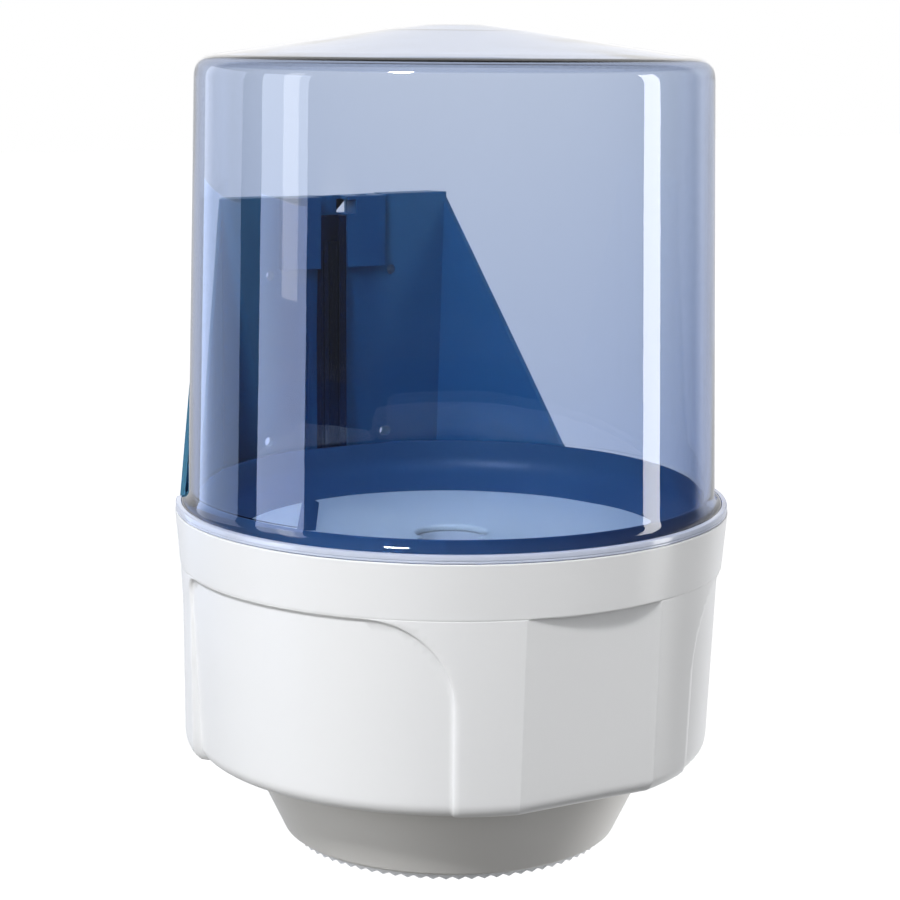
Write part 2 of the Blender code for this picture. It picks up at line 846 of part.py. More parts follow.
def make_back_body(finish):
    foot = loft([foot_section(station) for station in foot_stations()], False)
    body = piece("back_body", foot, finish, smooth=False)
    for side, label in ((-1, "left"), (1, "right")):
        join(body, helper(f"{label}_wing", wing(side)))
    join(body, helper("panel_wall_shape", panel_wall_block()))
    join(body, helper("panel_base_shape", panel_base_block()))
    join(body, helper("top_shape", top_block()))
    spine_low = (-spine_half_width, panel_y(housing_low_z) + panel_wall / 2, tray_top_z + running_gap * 2)
    spine_high = (spine_half_width, roll_axis_to_wall, housing_low_z - window_gap * 2)
    join(body, helper("spine_shape", block(spine_low, spine_high)))
    holes = []
    for side, label in ((-1, "left"), (1, "right")):
        for z, level in ((wall_hole_low_z, "low"), (wall_hole_high_z, "high")):
            centre = (side * wall_hole_x, 0, z)
            start = panel_y(z) + panel_wall / 2
            boss = rod(centre, (0, 1, 0), boss_radius, start, roll_axis_to_wall)
            join(body, helper(f"{label}_{level}_boss", boss))
            hole = rod(centre, (0, 1, 0), wall_hole_radius, panel_y(z) - panel_wall, roll_axis_to_wall + overrun)
            holes.append(helper(f"{label}_{level}_wall_hole", hole))
    for i, (x, y) in enumerate(body_screw_places()):
        low_z = tray_top_z - overrun
        hole = rod((x, y, 0), (0, 0, 1), screw_shank_radius + screw_hole_gap, low_z, body_screw_top_z + screw_gap)
        holes.append(helper(f"foot_hole_{i + 1}", hole))
    groove_half = rail_half_width + running_gap
    groove_low = (-groove_half, 0, rail_low_z - running_gap)
    groove_high = (groove_half, rail_back_y + running_gap, body_top_z + overrun)
    holes.append(helper("rail_groove", block(groove_low, groove_high)))
    window_half = housing_half_width + window_gap
    window_low = (-window_half, 0, housing_low_z - window_gap)
    window_high = (window_half, roll_axis_to_wall + overrun, body_top_z + overrun)
    holes.append(helper("lock_window", block(window_low, window_high)))
    sink = screw_head_height + screw_gap * 2
    reach = roll_axis_to_wall - rail_back_y + overrun
    for level, z in (("low", rail_screw_low_z), ("high", rail_screw_high_z)):
        centre = (0, roll_axis_to_wall, z)
        head = rod(centre, (0, -1, 0), screw_head_radius + screw_gap, -overrun, sink)
        holes.append(helper(f"rail_head_hole_{level}", head))
        shank = rod(centre, (0, -1, 0), screw_shank_radius + screw_hole_gap, -overrun, reach)
        holes.append(helper(f"rail_shank_hole_{level}", shank))
    for hole in holes:
        cut(body, hole)
    return body


def make_rail(finish):
    low = (-rail_half_width, rail_front_y, rail_low_z)
    high = (rail_half_width, rail_back_y, rail_top_z)
    rail = piece("guide_rail", block(low, high), finish, smooth=False)
    room_low_y = rail_front_y + rail_lip
    room_low = (-rail_room_half, room_low_y, rail_low_z - overrun)
    room_high = (rail_room_half, room_low_y + rail_room_depth, rail_top_z + overrun)
    cut(rail, helper("rail_room", block(room_low, room_high)))
    mouth_low = (-rail_mouth_half, rail_front_y - overrun, rail_low_z - overrun)
    mouth_high = (rail_mouth_half, room_low_y + overrun, rail_top_z + overrun)
    cut(rail, helper("rail_mouth", block(mouth_low, mouth_high)))
    window_low = (rail_room_half - overrun, bolt_front_y - bolt_gap, nose_low_z - bolt_gap)
    window_high_y = bolt_front_y + nose_depth + bolt_gap
    window_high = (rail_half_width + overrun, window_high_y, nose_low_z + nose_height + bolt_gap)
    cut(rail, helper("rail_window", block(window_low, window_high)))
    radius = screw_shank_radius + screw_hole_gap
    for level, z in (("low", rail_screw_low_z), ("high", rail_screw_high_z)):
        bite = rod((0, rail_back_y, z), (0, -1, 0), radius, -overrun, rail_bite() + screw_gap)
        cut(rail, helper(f"rail_bite_{level}", bite))
    return rail


def rail_bite():
    """How far the rail's screws reach into its back wall."""
    return (rail_back_y - rail_front_y - rail_lip - rail_room_depth) * rail_bite_share


# Lock

def make_housing(finish):
    low = (-housing_half_width, housing_front_y, housing_low_z)
    high = (housing_half_width, housing_back_y, housing_top_z)
    housing = piece("lock_housing", block(low, high), finish, smooth=False)
    groove_half = rail_half_width + running_gap
    groove_low = (-groove_half, housing_front_y - overrun, housing_low_z - overrun)
    groove_high = (groove_half, rail_back_y + running_gap, housing_top_z + overrun)
    cut(housing, helper("housing_groove", block(groove_low, groove_high)))
    pocket_low = (bolt_left_x - bolt_gap, bolt_front_y - bolt_gap, bolt_low_z - bolt_gap)
    pocket_high = (
        bolt_left_x + bolt_length + bolt_travel + bolt_gap,
        housing_back_y + overrun,
        bolt_low_z + bolt_height + bolt_gap,
    )
    cut(housing, helper("bolt_pocket", block(pocket_low, pocket_high)))
    port_low = (groove_half - overrun, bolt_front_y - bolt_gap, nose_low_z - bolt_gap)
    port_high = (bolt_left_x, bolt_front_y + nose_depth + bolt_gap, nose_low_z + nose_height + bolt_gap)
    cut(housing, helper("nose_port", block(port_low, port_high)))
    key_low = (key_slot_left, bolt_front_y - bolt_gap, bolt_low_z + bolt_height)
    key_high = (key_slot_left + key_slot_width, key_low[1] + key_slot_depth, housing_top_z + overrun)
    cut(housing, helper("key_slot", block(key_low, key_high)))
    peep_low = (peep_left_x, housing_front_y - overrun, peep_low_z)
    peep_high = (peep_right_x, housing_back_y + overrun, peep_top_z)
    cut(housing, helper("peep_slot", block(peep_low, peep_high)))
    for side, label in ((-1, "left"), (1, "right")):
        centre = (side * plate_screw_x, housing_back_y, plate_screw_z)
        bite = rod(centre, (0, -1, 0), screw_shank_radius + screw_hole_gap, -overrun, plate_bite() + screw_gap)
        cut(housing, helper(f"{label}_plate_bite", bite))
    return housing


def plate_bite():
    return (housing_back_y - housing_front_y) / 2


def make_lock_plate(finish):
    low_y = housing_back_y + running_gap
    low = (-housing_half_width, low_y, housing_low_z)
    high = (housing_half_width, low_y + plate_thickness, housing_top_z)
    plate = piece("lock_plate", block(low, high), finish, smooth=False)
    peep_low = (peep_left_x, low_y - overrun, peep_low_z)
    peep_high = (peep_right_x, low_y + plate_thickness + overrun, peep_top_z)
    cut(plate, helper("plate_peep", block(peep_low, peep_high)))
    for side, label in ((-1, "left"), (1, "right")):
        centre = (side * plate_screw_x, low_y + plate_thickness, plate_screw_z)
        head = rod(centre, (0, -1, 0), screw_head_radius + screw_gap, -overrun, screw_head_height)
        cut(plate, helper(f"{label}_plate_sink", head))
        shank = rod(centre, (0, -1, 0), screw_shank_radius + screw_hole_gap, -overrun, plate_thickness + overrun)
        cut(plate, helper(f"{label}_plate_hole", shank))
    return plate


def make_bolt(finish):
    """The bolt lies unlocked here. It slides towards the rail by its travel, and its nose closes the way above the rib."""
    start = bolt_left_x + bolt_travel
    centre = Vector((start, bolt_front_y + bolt_depth / 2, bolt_low_z + bolt_height / 2))
    place = bpy.data.objects.new("bolt_place", None)
    bpy.context.scene.collection.objects.link(place)
    place.parent = bpy.data.objects["roll_axis"]
    place.location = centre
    body_low = Vector((start, bolt_front_y, bolt_low_z)) - centre
    body_high = Vector((start + bolt_length, bolt_front_y + bolt_depth, bolt_low_z + bolt_height)) - centre
    bolt = piece("lock_bolt", block(body_low, body_high), finish, place, smooth=False)
    nose_start = start - nose_length
    nose_low = Vector((nose_start, bolt_front_y, nose_low_z))
    nose_high = Vector((start + overrun, bolt_front_y + nose_depth, nose_low_z + nose_height))
    join(bolt, helper("bolt_nose", block(nose_low, nose_high)))
    return bolt


# Screws

def screw(name, seat, direction, reach, finish):
    """A pan head on its seat with a shank that runs along direction. The recess is in the head."""
    top = -screw_head_height
    profile = [
        (0, top + screw_recess_depth),
        (screw_recess_radius, top + screw_recess_depth * screw_recess_share),
        (screw_recess_radius, top),
        (screw_head_radius * screw_crown_share, top),
        (screw_head_radius, top + screw_head_height / 2),
        (screw_head_radius, 0),
        (screw_shank_radius, 0),
        (screw_shank_radius, reach - screw_shank_radius),
        (0, reach),
    ]

    def build(shape):
        angles = [360.0 * i / screw_sides for i in range(screw_sides)]
        loops = [[shape.verts.new(polar(r, angle, z)) for r, z in profile] for angle in angles]
        for here, there in zip(loops, loops[1:] + loops[:1]):
            for i in range(len(here) - 1):
                shape.faces.new((here[i], here[i + 1], there[i + 1], there[i]))

    made = piece(name, build, finish)
    made.rotation_mode = "QUATERNION"
    made.rotation_quaternion = Vector((0, 0, 1)).rotation_difference(Vector(direction))
    made.location = Vector(seat) - Vector(direction) * screw_gap
    return made


def body_screw_places():
    places = []
    for side in (-1, 1):
        corner = flank_corner(side, body_outer - corner_screw_inset, corner_screw_from_wall)
        places.append((corner.x, corner.y))
        places.append((side * middle_screw_x, roll_axis_to_wall - middle_screw_from_wall))
    return places


def ring_places(circle, count, first):
    return [polar(circle, first + 360.0 * i / count, 0) for i in range(count)]


def add_screws(finish, casing, tray, floor, guide, neck):
    hole = screw_shank_radius + screw_hole_gap
    deck_low_z = tray_top_z - tray_deck_thickness
    shelf_low_z = deck_low_z - running_gap - shelf_thickness
    for i, (x, y) in enumerate(body_screw_places()):
        seat = (x, y, shelf_low_z)
        screw(f"body_screw_{i + 1}", seat, (0, 0, 1), body_screw_top_z - shelf_low_z, finish)
        way = helper(f"body_screw_way_{i + 1}", rod(seat, (0, 0, 1), hole, -overrun * 3, -seat[2]))
        face = rod(seat, (0, 0, 1), screw_head_radius + screw_gap, -overrun * 4, screw_face_depth)
        cut(casing, helper(f"body_screw_face_{i + 1}", face))
        cut(casing, way)
        cut(tray, way)
    flange_top = casing_base_z + casing_wall + running_gap + neck_flange_thickness
    reach = flange_top - casing_base_z - running_gap * 2
    for i, spot in enumerate(ring_places(neck_screw_circle, 4, 45)):
        seat = (spot.x, spot.y, flange_top)
        screw(f"neck_screw_{i + 1}", seat, (0, 0, -1), reach, finish)
        way = helper(f"neck_screw_way_{i + 1}", rod(seat, (0, 0, -1), hole, -overrun, reach + overrun))
        cut(casing, way)
        cut(neck, way)
    flange_low = floor_top_z - floor_thickness - running_gap - guide_flange_thickness
    reach = guide_flange_thickness + running_gap + floor_thickness * floor_bite_share
    for i, spot in enumerate(ring_places(guide_screw_circle, 3, 0)):
        seat = (spot.x, spot.y, flange_low)
        screw(f"guide_screw_{i + 1}", seat, (0, 0, 1), reach, finish)
        way = helper(f"guide_screw_way_{i + 1}", rod(seat, (0, 0, 1), hole, -overrun, reach + screw_gap))
        cut(floor, way)
        cut(guide, way)
    for i, z in enumerate((rail_screw_low_z, rail_screw_high_z)):
        sink = screw_head_height + screw_gap * 2
        seat = (0, roll_axis_to_wall - sink, z)
        reach = roll_axis_to_wall - sink - rail_back_y + rail_bite()
        screw(f"rail_screw_{i + 1}", seat, (0, -1, 0), reach, finish)
    plate_back = housing_back_y + running_gap + plate_thickness
    for i, side in enumerate((-1, 1)):
        seat = (side * plate_screw_x, plate_back - screw_head_height, plate_screw_z)
        reach = plate_back - screw_head_height - housing_back_y + plate_bite()
        screw(f"lock_screw_{i + 1}", seat, (0, -1, 0), reach, finish)


def main():
    clear_scene()
    axis = bpy.data.objects.new("roll_axis", None)
    bpy.context.scene.collection.objects.link(axis)
    axis.location = (0, -roll_axis_to_wall, 0)
    white = plastic("white_plastic", (0.80, 0.81, 0.82), 0.38)
    pale = plastic("pale_plastic", (0.74, 0.75, 0.76), 0.45)
    blue = plastic("blue_plastic", (0.03, 0.10, 0.28), 0.35)
    dark = plastic("dark_plastic", (0.012, 0.02, 0.045), 0.40)
    clear = plastic("clear_blue_plastic", (0.30, 0.42, 0.68), 0.05, 0.35)
    metal = steel("screw_steel")
    casing = make_casing(white)
    tray = make_tray(blue)
    floor = make_floor(pale)
    guide = make_guide(pale)
    neck = make_neck(pale)
    make_tear_ring(pale)
    make_cover(clear)
    make_rib(clear)
    make_back_body(blue)
    make_rail(dark)
    make_housing(blue)
    make_lock_plate(blue)
    make_bolt(dark)
    add_screws(metal, casing, tray, floor, guide, neck)


main()
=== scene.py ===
# Wall-hung centrefeed roll dispenser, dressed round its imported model.
# Metres, +Z up, the wall behind it at y = 0. Pieces are drawn about the roll's axis, with +Y to the wall.
import math
from functools import partial

import bmesh
import bpy
from mathutils import Matrix, Vector
from mathutils.geometry import delaunay_2d_cdt


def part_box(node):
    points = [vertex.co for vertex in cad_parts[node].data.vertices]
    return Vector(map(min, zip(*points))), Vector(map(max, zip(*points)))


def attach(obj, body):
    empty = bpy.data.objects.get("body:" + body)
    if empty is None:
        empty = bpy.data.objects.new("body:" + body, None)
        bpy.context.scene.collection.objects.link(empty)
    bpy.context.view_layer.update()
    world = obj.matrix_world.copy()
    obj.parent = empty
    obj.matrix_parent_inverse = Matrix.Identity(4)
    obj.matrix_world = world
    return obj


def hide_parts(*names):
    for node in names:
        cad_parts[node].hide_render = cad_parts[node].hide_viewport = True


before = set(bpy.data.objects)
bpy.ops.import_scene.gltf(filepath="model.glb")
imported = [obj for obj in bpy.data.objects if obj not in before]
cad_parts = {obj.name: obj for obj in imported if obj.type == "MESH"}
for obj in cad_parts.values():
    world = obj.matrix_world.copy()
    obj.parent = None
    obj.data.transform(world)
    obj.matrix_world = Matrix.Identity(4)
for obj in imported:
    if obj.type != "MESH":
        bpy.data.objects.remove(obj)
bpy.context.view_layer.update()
scene = bpy.context.scene
print("frame loaded")

plan = {
    "axisToWall": 0.1270, "radius": 0.1225, "tangentAngle": 122.2, "flankSteps": 14, "backSteps": 30,
    "gap": 0.0003, "mergeWithin": 0.000002, "cornerShare": 0.48,
}


# Points and outlines

def mix(start, end, share):
    return start + (end - start) * share


def smoothStep(low, high, value):
    share = min(1.0, max(0.0, (value - low) / (high - low)))
    return share * share * (3 - 2 * share)


def polar(radius, angle, z):
    turn = math.radians(angle)
    return Vector((radius * math.sin(turn), -radius * math.cos(turn), z))


def flankCorner(side, radius, fromWall):
    turn = math.radians(180 - plan["tangentAngle"])
    y = plan["axisToWall"] - fromWall
    return Vector((side * (radius - y * math.cos(turn)) / math.sin(turn), y, 0))


def planPoint(station, radius, fromWall, z):
    # a station is a place on the D-shaped plan: on its arc, a flank or the back
    part, value = station
    if part == "arc":
        return polar(radius, value, z)
    if part == "flank":
        side = math.copysign(1, value)
        start = polar(radius, side * plan["tangentAngle"], 0)
        point = mix(start, flankCorner(side, radius, fromWall), abs(value))
    else:
        point = mix(flankCorner(1, radius, fromWall), flankCorner(-1, radius, fromWall), value)
    return Vector((point.x, point.y, z))


def stationAngle(station):
    point = planPoint(station, plan["radius"], 0, 0)
    return math.degrees(math.atan2(point.x, -point.y))


def holePoint(station, radius, z):
    return polar(radius, stationAngle(station), z)


def planStations(angles):
    count = plan["flankSteps"]
    stations = [("arc", angle) for angle in angles]
    stations += [("flank", (i + 1) / count) for i in range(count)]
    stations += [("back", i / plan["backSteps"]) for i in range(1, plan["backSteps"])]
    stations += [("flank", -(i + 1) / count) for i in reversed(range(count))]
    return stations


def spread(low, high, step):
    count = max(1, round(abs(high - low) / step))
    return [mix(low, high, i / count) for i in range(count + 1)]


def rounded(points, radii, steps):
    # a path of (across, up) points, with an arc in place of each corner that has a radius
    path = []
    for i, (point, radius) in enumerate(zip(points, radii)):
        here = Vector(point)
        if not radius or i in (0, len(points) - 1):
            path.append(here)
            continue
        toBefore = Vector(points[i - 1]) - here
        toAfter = Vector(points[i + 1]) - here
        half = toBefore.angle(toAfter) / 2
        longest = min(toBefore.length, toAfter.length) * plan["cornerShare"]
        reach = min(radius / math.tan(half), longest)
        start = here + toBefore.normalized() * reach
        end = here + toAfter.normalized() * reach
        for j in range(steps + 1):
            share = j / steps
            path.append(start * (1 - share) ** 2 + here * 2 * share * (1 - share) + end * share**2)
    return [(point.x, point.y) for point in path]


def closedRounded(points, radii, steps):
    # the same for a closed outline
    path = []
    for i, radius in enumerate(radii):
        three = [points[i - 1], points[i], points[(i + 1) % len(points)]]
        path += rounded(three, (0, radius, 0), steps)[1:-1]
    return path


# Meshes and objects

def shapeFrom(rings, closedRings=True, closedRing=True):
    # faces between rings that all have the same number of points
    verts = [point for ring in rings for point in ring]
    size = len(rings[0])
    faces = []
    for i in range(len(rings) if closedRings else len(rings) - 1):
        j = (i + 1) % len(rings)
        for k in range(size if closedRing else size - 1):
            m = (k + 1) % size
            faces.append((i * size + k, i * size + m, j * size + m, j * size + k))
    return verts, faces


def turnedShape(corners, settings):
    # a closed outline with rounded corners, turned about the roll's axis
    outline = closedRounded(corners, settings["rounds"], settings["roundSteps"])
    angles = [360.0 * i / settings["steps"] for i in range(settings["steps"])]
    return shapeFrom([[polar(r, angle, z) for r, z in outline] for angle in angles])


def addObject(name, data):
    made = bpy.data.objects.new(name, data)
    scene.collection.objects.link(made)
    return made


def addMesh(name, shape):
    # an object of these points and faces, which face outwards
    verts, faces = shape
    built = bmesh.new()
    points = [built.verts.new(Vector(v) - Vector((0, plan["axisToWall"], 0))) for v in verts]
    for face in faces:
        built.faces.new([points[i] for i in face])
    bmesh.ops.remove_doubles(built, verts=built.verts, dist=plan["mergeWithin"])
    bmesh.ops.recalc_face_normals(built, faces=built.faces)
    mesh = bpy.data.meshes.new(name)
    built.to_mesh(mesh)
    built.free()
    return addObject(name, mesh)


def smoothed(made, angle):
    made.data.shade_smooth()
    made.data.set_sharp_from_angle(angle=math.radians(angle))


def addPiece(name, shape, finish, body, replaced, sharpAngle):
    made = addMesh(name, shape)
    smoothed(made, sharpAngle)
    made.data.materials.append(finish)
    return settle(made, body, replaced)


def settle(made, body, replaced):
    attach(made, body)
    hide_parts(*replaced)
    return made


def baked(made):
    # the evaluated mesh takes the place of the object's own, and its modifiers go
    graph = bpy.context.evaluated_depsgraph_get()
    mesh = bpy.data.meshes.new_from_object(made.evaluated_get(graph))
    made.modifiers.clear()
    made.data = mesh
    return made


soft = {"dissolveAngle": 0.4, "bevelAngle": 28, "sharpAngle": 40, "segments": 2, "flatWeight": 100}


def softened(name, node, finish, body, slotName, bevel):
    # a copy of a CAD node with its edges rounded
    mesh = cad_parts[node].data.copy()
    mesh.name = name
    built = bmesh.new()
    built.from_mesh(mesh)
    bmesh.ops.remove_doubles(built, verts=built.verts, dist=plan["mergeWithin"])
    bmesh.ops.dissolve_limit(
        built, angle_limit=math.radians(soft["dissolveAngle"]), verts=built.verts, edges=built.edges,
        delimit={"SHARP"},
    )
    built.to_mesh(mesh)
    built.free()
    mesh.materials.clear()
    mesh.materials.append(finish)
    made = addObject(name, mesh)
    edge = made.modifiers.new("edges", "BEVEL")
    edge.width = bevel
    edge.segments = soft["segments"]
    edge.limit_method = "ANGLE"
    edge.angle_limit = math.radians(soft["bevelAngle"])
    edge.miter_outer = "MITER_ARC"
    smoothed(baked(made), soft["sharpAngle"])
    flat = made.modifiers.new("flat", "WEIGHTED_NORMAL")  # keeps large walls flat beside their round edges
    flat.weight = soft["flatWeight"]
    flat.keep_sharp = True
    return settle(baked(made), body, [node])


# Finishes

def newFinish(name):
    finish = bpy.data.materials.new(name)
    finish.use_nodes = True
    tree = finish.node_tree
    return finish, tree, tree.nodes["Principled BSDF"]


def feed(tree, node, values):
    # a socket is linked to its input and any other value is set. A list of sockets goes into one input.
    for key, value in values.items():
        socket = node.inputs[key]
        for one in value if isinstance(value, list) else [value]:
            if isinstance(one, bpy.types.NodeSocket):
                tree.links.new(one, socket)
            else:
                socket.default_value = one


def addNode(tree, kind, *ordered, **settings):
    # ordered values go to the first inputs, settings to the node's fields or to inputs, with _ for a space
    node = tree.nodes.new(kind)
    fields = {key: value for key, value in settings.items() if hasattr(node, key)}
    for key, value in fields.items():
        setattr(node, key, value)
    feed(tree, node, dict(enumerate(ordered)))
    feed(tree, node, {key.replace("_", " "): value for key, value in settings.items() if key not in fields})
    return node


def outOf(tree, kind, *ordered, **settings):
    # a new node's first output that is in use
    return next(out for out in addNode(tree, kind, *ordered, **settings).outputs if out.enabled)


def noiseOf(tree, scale, detail=2.0, stretch=(1, 1, 1)):
    place = addNode(tree, "ShaderNodeTexCoord").outputs["Object"]
    mapped = outOf(tree, "ShaderNodeMapping", Vector=place, Scale=stretch)
    return outOf(tree, "ShaderNodeTexNoise", Vector=mapped, Scale=scale, Detail=detail)


def bumpOf(tree, height, strength, depth):
    return outOf(tree, "ShaderNodeBump", Height=height, Strength=strength, Distance=depth)


def glossOf(tree, noise, span, roughness):
    return outOf(tree, "ShaderNodeMapRange", noise, *span, *roughness)


def plasticFinish(name, look):
    # moulded plastic: a broad, faint drift of colour and gloss, and a fine grain
    finish, tree, shader = newFinish(name)
    tint = addNode(tree, "ShaderNodeMix", data_type="RGBA", Factor=noiseOf(tree, look["driftScale"]))
    first, second = (socket for socket in tint.inputs if socket.type == "RGBA")
    first.default_value = (*look["colour"], 1)
    second.default_value = (*look["driftColour"], 1)
    gloss = noiseOf(tree, look["glossScale"], detail=3.0)
    grain = noiseOf(tree, look["grainScale"], detail=1.0)
    feed(tree, shader, {
        "Base Color": next(socket for socket in tint.outputs if socket.type == "RGBA"),
        "Roughness": glossOf(tree, gloss, (0.35, 0.65), look["roughness"]),
        "Normal": bumpOf(tree, grain, look["grainStrength"], look["grainDepth"]),
        "Specular IOR Level": look.get("shine", 0.5),
    })
    return finish


paleGrain = {"glossScale": 40.0, "grainScale": 2200.0, "grainStrength": 0.18, "grainDepth": 0.00007}
darkGrain = {"grainScale": 1800.0, "grainStrength": 0.2, "grainDepth": 0.00008}
plastics = {
    "white": {
        "colour": (0.778, 0.783, 0.788), "driftColour": (0.748, 0.753, 0.758), "driftScale": 9.0,
        "roughness": (0.30, 0.38), "glossScale": 35.0,
        "grainScale": 2600.0, "grainStrength": 0.12, "grainDepth": 0.00006,
    },
    "pale": {
        "colour": (0.70, 0.69, 0.67), "driftColour": (0.65, 0.64, 0.62), "driftScale": 14.0,
        "roughness": (0.38, 0.48), **paleGrain,
    },
    # ring: a whiter plastic than the neck's. Part of its extra lightness is painted light, standing for light
    # that reaches the teeth from below and in front
    "ring": {
        "colour": (0.84, 0.85, 0.87), "driftColour": (0.80, 0.81, 0.83), "driftScale": 14.0,
        "roughness": (0.34, 0.42), **paleGrain, "grainStrength": 0.15, "grainDepth": 0.00006,
    },
    "blue": {
        "colour": (0.068, 0.205, 0.290), "driftColour": (0.060, 0.186, 0.266), "driftScale": 12.0,
        "roughness": (0.34, 0.44), "glossScale": 30.0, "shine": 0.35, **darkGrain,
    },
    # tray: a darker copy of the blue plastic. Its extra darkness is painted shade, where the front wall and
    # the raised ring shade the tray
    "tray": {
        "colour": (0.027, 0.087, 0.182), "driftColour": (0.023, 0.076, 0.164), "driftScale": 12.0,
        "roughness": (0.36, 0.46), "glossScale": 30.0, "shine": 0.30, **darkGrain,
    },
    "floor": {
        "colour": (0.91, 0.91, 0.83), "driftColour": (0.86, 0.86, 0.79), "driftScale": 14.0,
        "roughness": (0.36, 0.46), **paleGrain,
    },
    # lip: an opaque pale blue-grey for the clear foot's outer edge. Its paleness is painted light, standing
    # for the light seen in and through clear plastic there
    "lip": {
        "colour": (0.52, 0.56, 0.67), "driftColour": (0.46, 0.50, 0.61), "driftScale": 22.0,
        "roughness": (0.08, 0.14), "glossScale": 40.0,
        "grainScale": 900.0, "grainStrength": 0.10, "grainDepth": 0.00005,
    },
    # dark: near-black plastic for the guide rail and the lock bolt. On the rail the near-black is painted
    # shade, standing for shade in a deep slot
    "dark": {
        "colour": (0.005, 0.010, 0.028), "driftColour": (0.007, 0.014, 0.034), "driftScale": 20.0,
        "roughness": (0.40, 0.52), "glossScale": 50.0, "shine": 0.2, **darkGrain,
    },
}
plastic = {name: plasticFinish(name + "Plastic", look) for name, look in plastics.items()}

clearLook = {
    "colour": (0.97, 0.985, 1.0), "roughness": 0.012, "ior": 1.57,
    "absorb": (0.345, 0.490, 0.765), "density": 160.0, "shadeColour": (0.80, 0.875, 0.925),
    "wavesScale": 26.0, "wavesStretch": (1, 1, 0.6), "wavesStrength": 0.15, "wavesDepth": 0.0006,
}


def clearFinish(name, look):
    # clear tinted plastic with the faint waves of a moulding. Lamps shine through it.
    finish, tree, shader = newFinish(name)
    waves = noiseOf(tree, look["wavesScale"], detail=1.0, stretch=look["wavesStretch"])
    feed(tree, shader, {
        "Base Color": (*look["colour"], 1), "Roughness": look["roughness"], "IOR": look["ior"],
        "Transmission Weight": 1.0, "Normal": bumpOf(tree, waves, look["wavesStrength"], look["wavesDepth"]),
    })
    shadow = addNode(tree, "ShaderNodeLightPath").outputs["Is Shadow Ray"]
    through = outOf(tree, "ShaderNodeBsdfTransparent", Color=(*look["shadeColour"], 1))
    absorb = outOf(tree, "ShaderNodeVolumeAbsorption", Color=(*look["absorb"], 1), Density=look["density"])
    surface = outOf(tree, "ShaderNodeMixShader", shadow, shader.outputs["BSDF"], through)
    feed(tree, tree.nodes["Material Output"], {"Volume": absorb, "Surface": surface})
    return finish


clearBlue = clearFinish("clearBluePlastic", clearLook)

steelLook = {
    "colour": (0.60, 0.60, 0.62), "roughness": (0.24, 0.38), "brushScale": 700.0, "brushStretch": (1, 1, 4),
}


def steelFinish(name, look):
    finish, tree, shader = newFinish(name)
    brushed = noiseOf(tree, look["brushScale"], detail=4.0, stretch=look["brushStretch"])
    feed(tree, shader, {
        "Metallic": 1.0, "Base Color": (*look["colour"], 1),
        "Roughness": glossOf(tree, brushed, (0, 1), look["roughness"]),
    })
    return finish


screwSteel = steelFinish("screwSteel", steelLook)
print("finishes made")


# Cover: a drum with a shallow cone on top, a flat strip behind and a foot flange

cover = {
    "crownZ": 0.2102, "crownFlat": 0.0128, "crownRing": 0.0310, "crownRingZ": 0.2080,
    "rimRadius": 0.1119, "rimZ": 0.1959, "rimInnerDrop": 0.85, "footRadius": 0.1166, "footZ": 0.0092,
    "outerRounds": (0, 0.030, 0.040, 0.0098, 0), "innerRounds": (0, 0.0066, 0.040, 0.030, 0), "roundSteps": 8,
    "wall": 0.0024, "footWall": 0.0040, "footDrop": 0.0004, "footSteps": 12, "longest": 0.012,
    "innerStep": 0.0010, "stepFrom": (55, 75), "shellEdge": 0.1196, "spigotInner": 0.1184,
    "spigotLowZ": -0.0026, "spigotTopZ": 0.0006, "bevelIn": 0.0002, "bevelTop": 0.0003, "bevelLow": 0.0004,
    "lipRadius": 0.1222, "lipInner": 0.1199, "lipTopZ": 0.0036, "lipLowZ": 0.0003, "lipRound": 0.0006,
    "lipTurn": ((1.0, 0.2), (0.3, 0.5), (0.0, 1.2)), "lipBevel": (0.0002, 0.0001),
    "grooveZ": 0.0012, "grooveDepth": 0.0003,
    "landY": 0.1130, "step": 2.0, "lipEnd": 118.5, "lipEndStep": 0.3, "rearStep": 1.6, "landStep": 0.7,
}


def hollow(inner, outer, highZ, lowZ):
    # a quarter turn from an upright wall out to a level edge
    turns = [math.pi / 2 * (i + 1) / cover["footSteps"] for i in range(cover["footSteps"])]
    return [(mix(inner, outer, 1 - math.cos(turn)), mix(highZ, lowZ, math.sin(turn))) for turn in turns]


def subdivided(path):
    # adds points along the long straights of a path
    fine = [path[0]]
    for (x, y), (nextX, nextY) in zip(path, path[1:]):
        count = max(1, math.ceil(math.hypot(nextX - x, nextY - y) / cover["longest"]))
        shares = [(i + 1) / count for i in range(count)]
        fine += [(mix(x, nextX, share), mix(y, nextY, share)) for share in shares]
    return fine


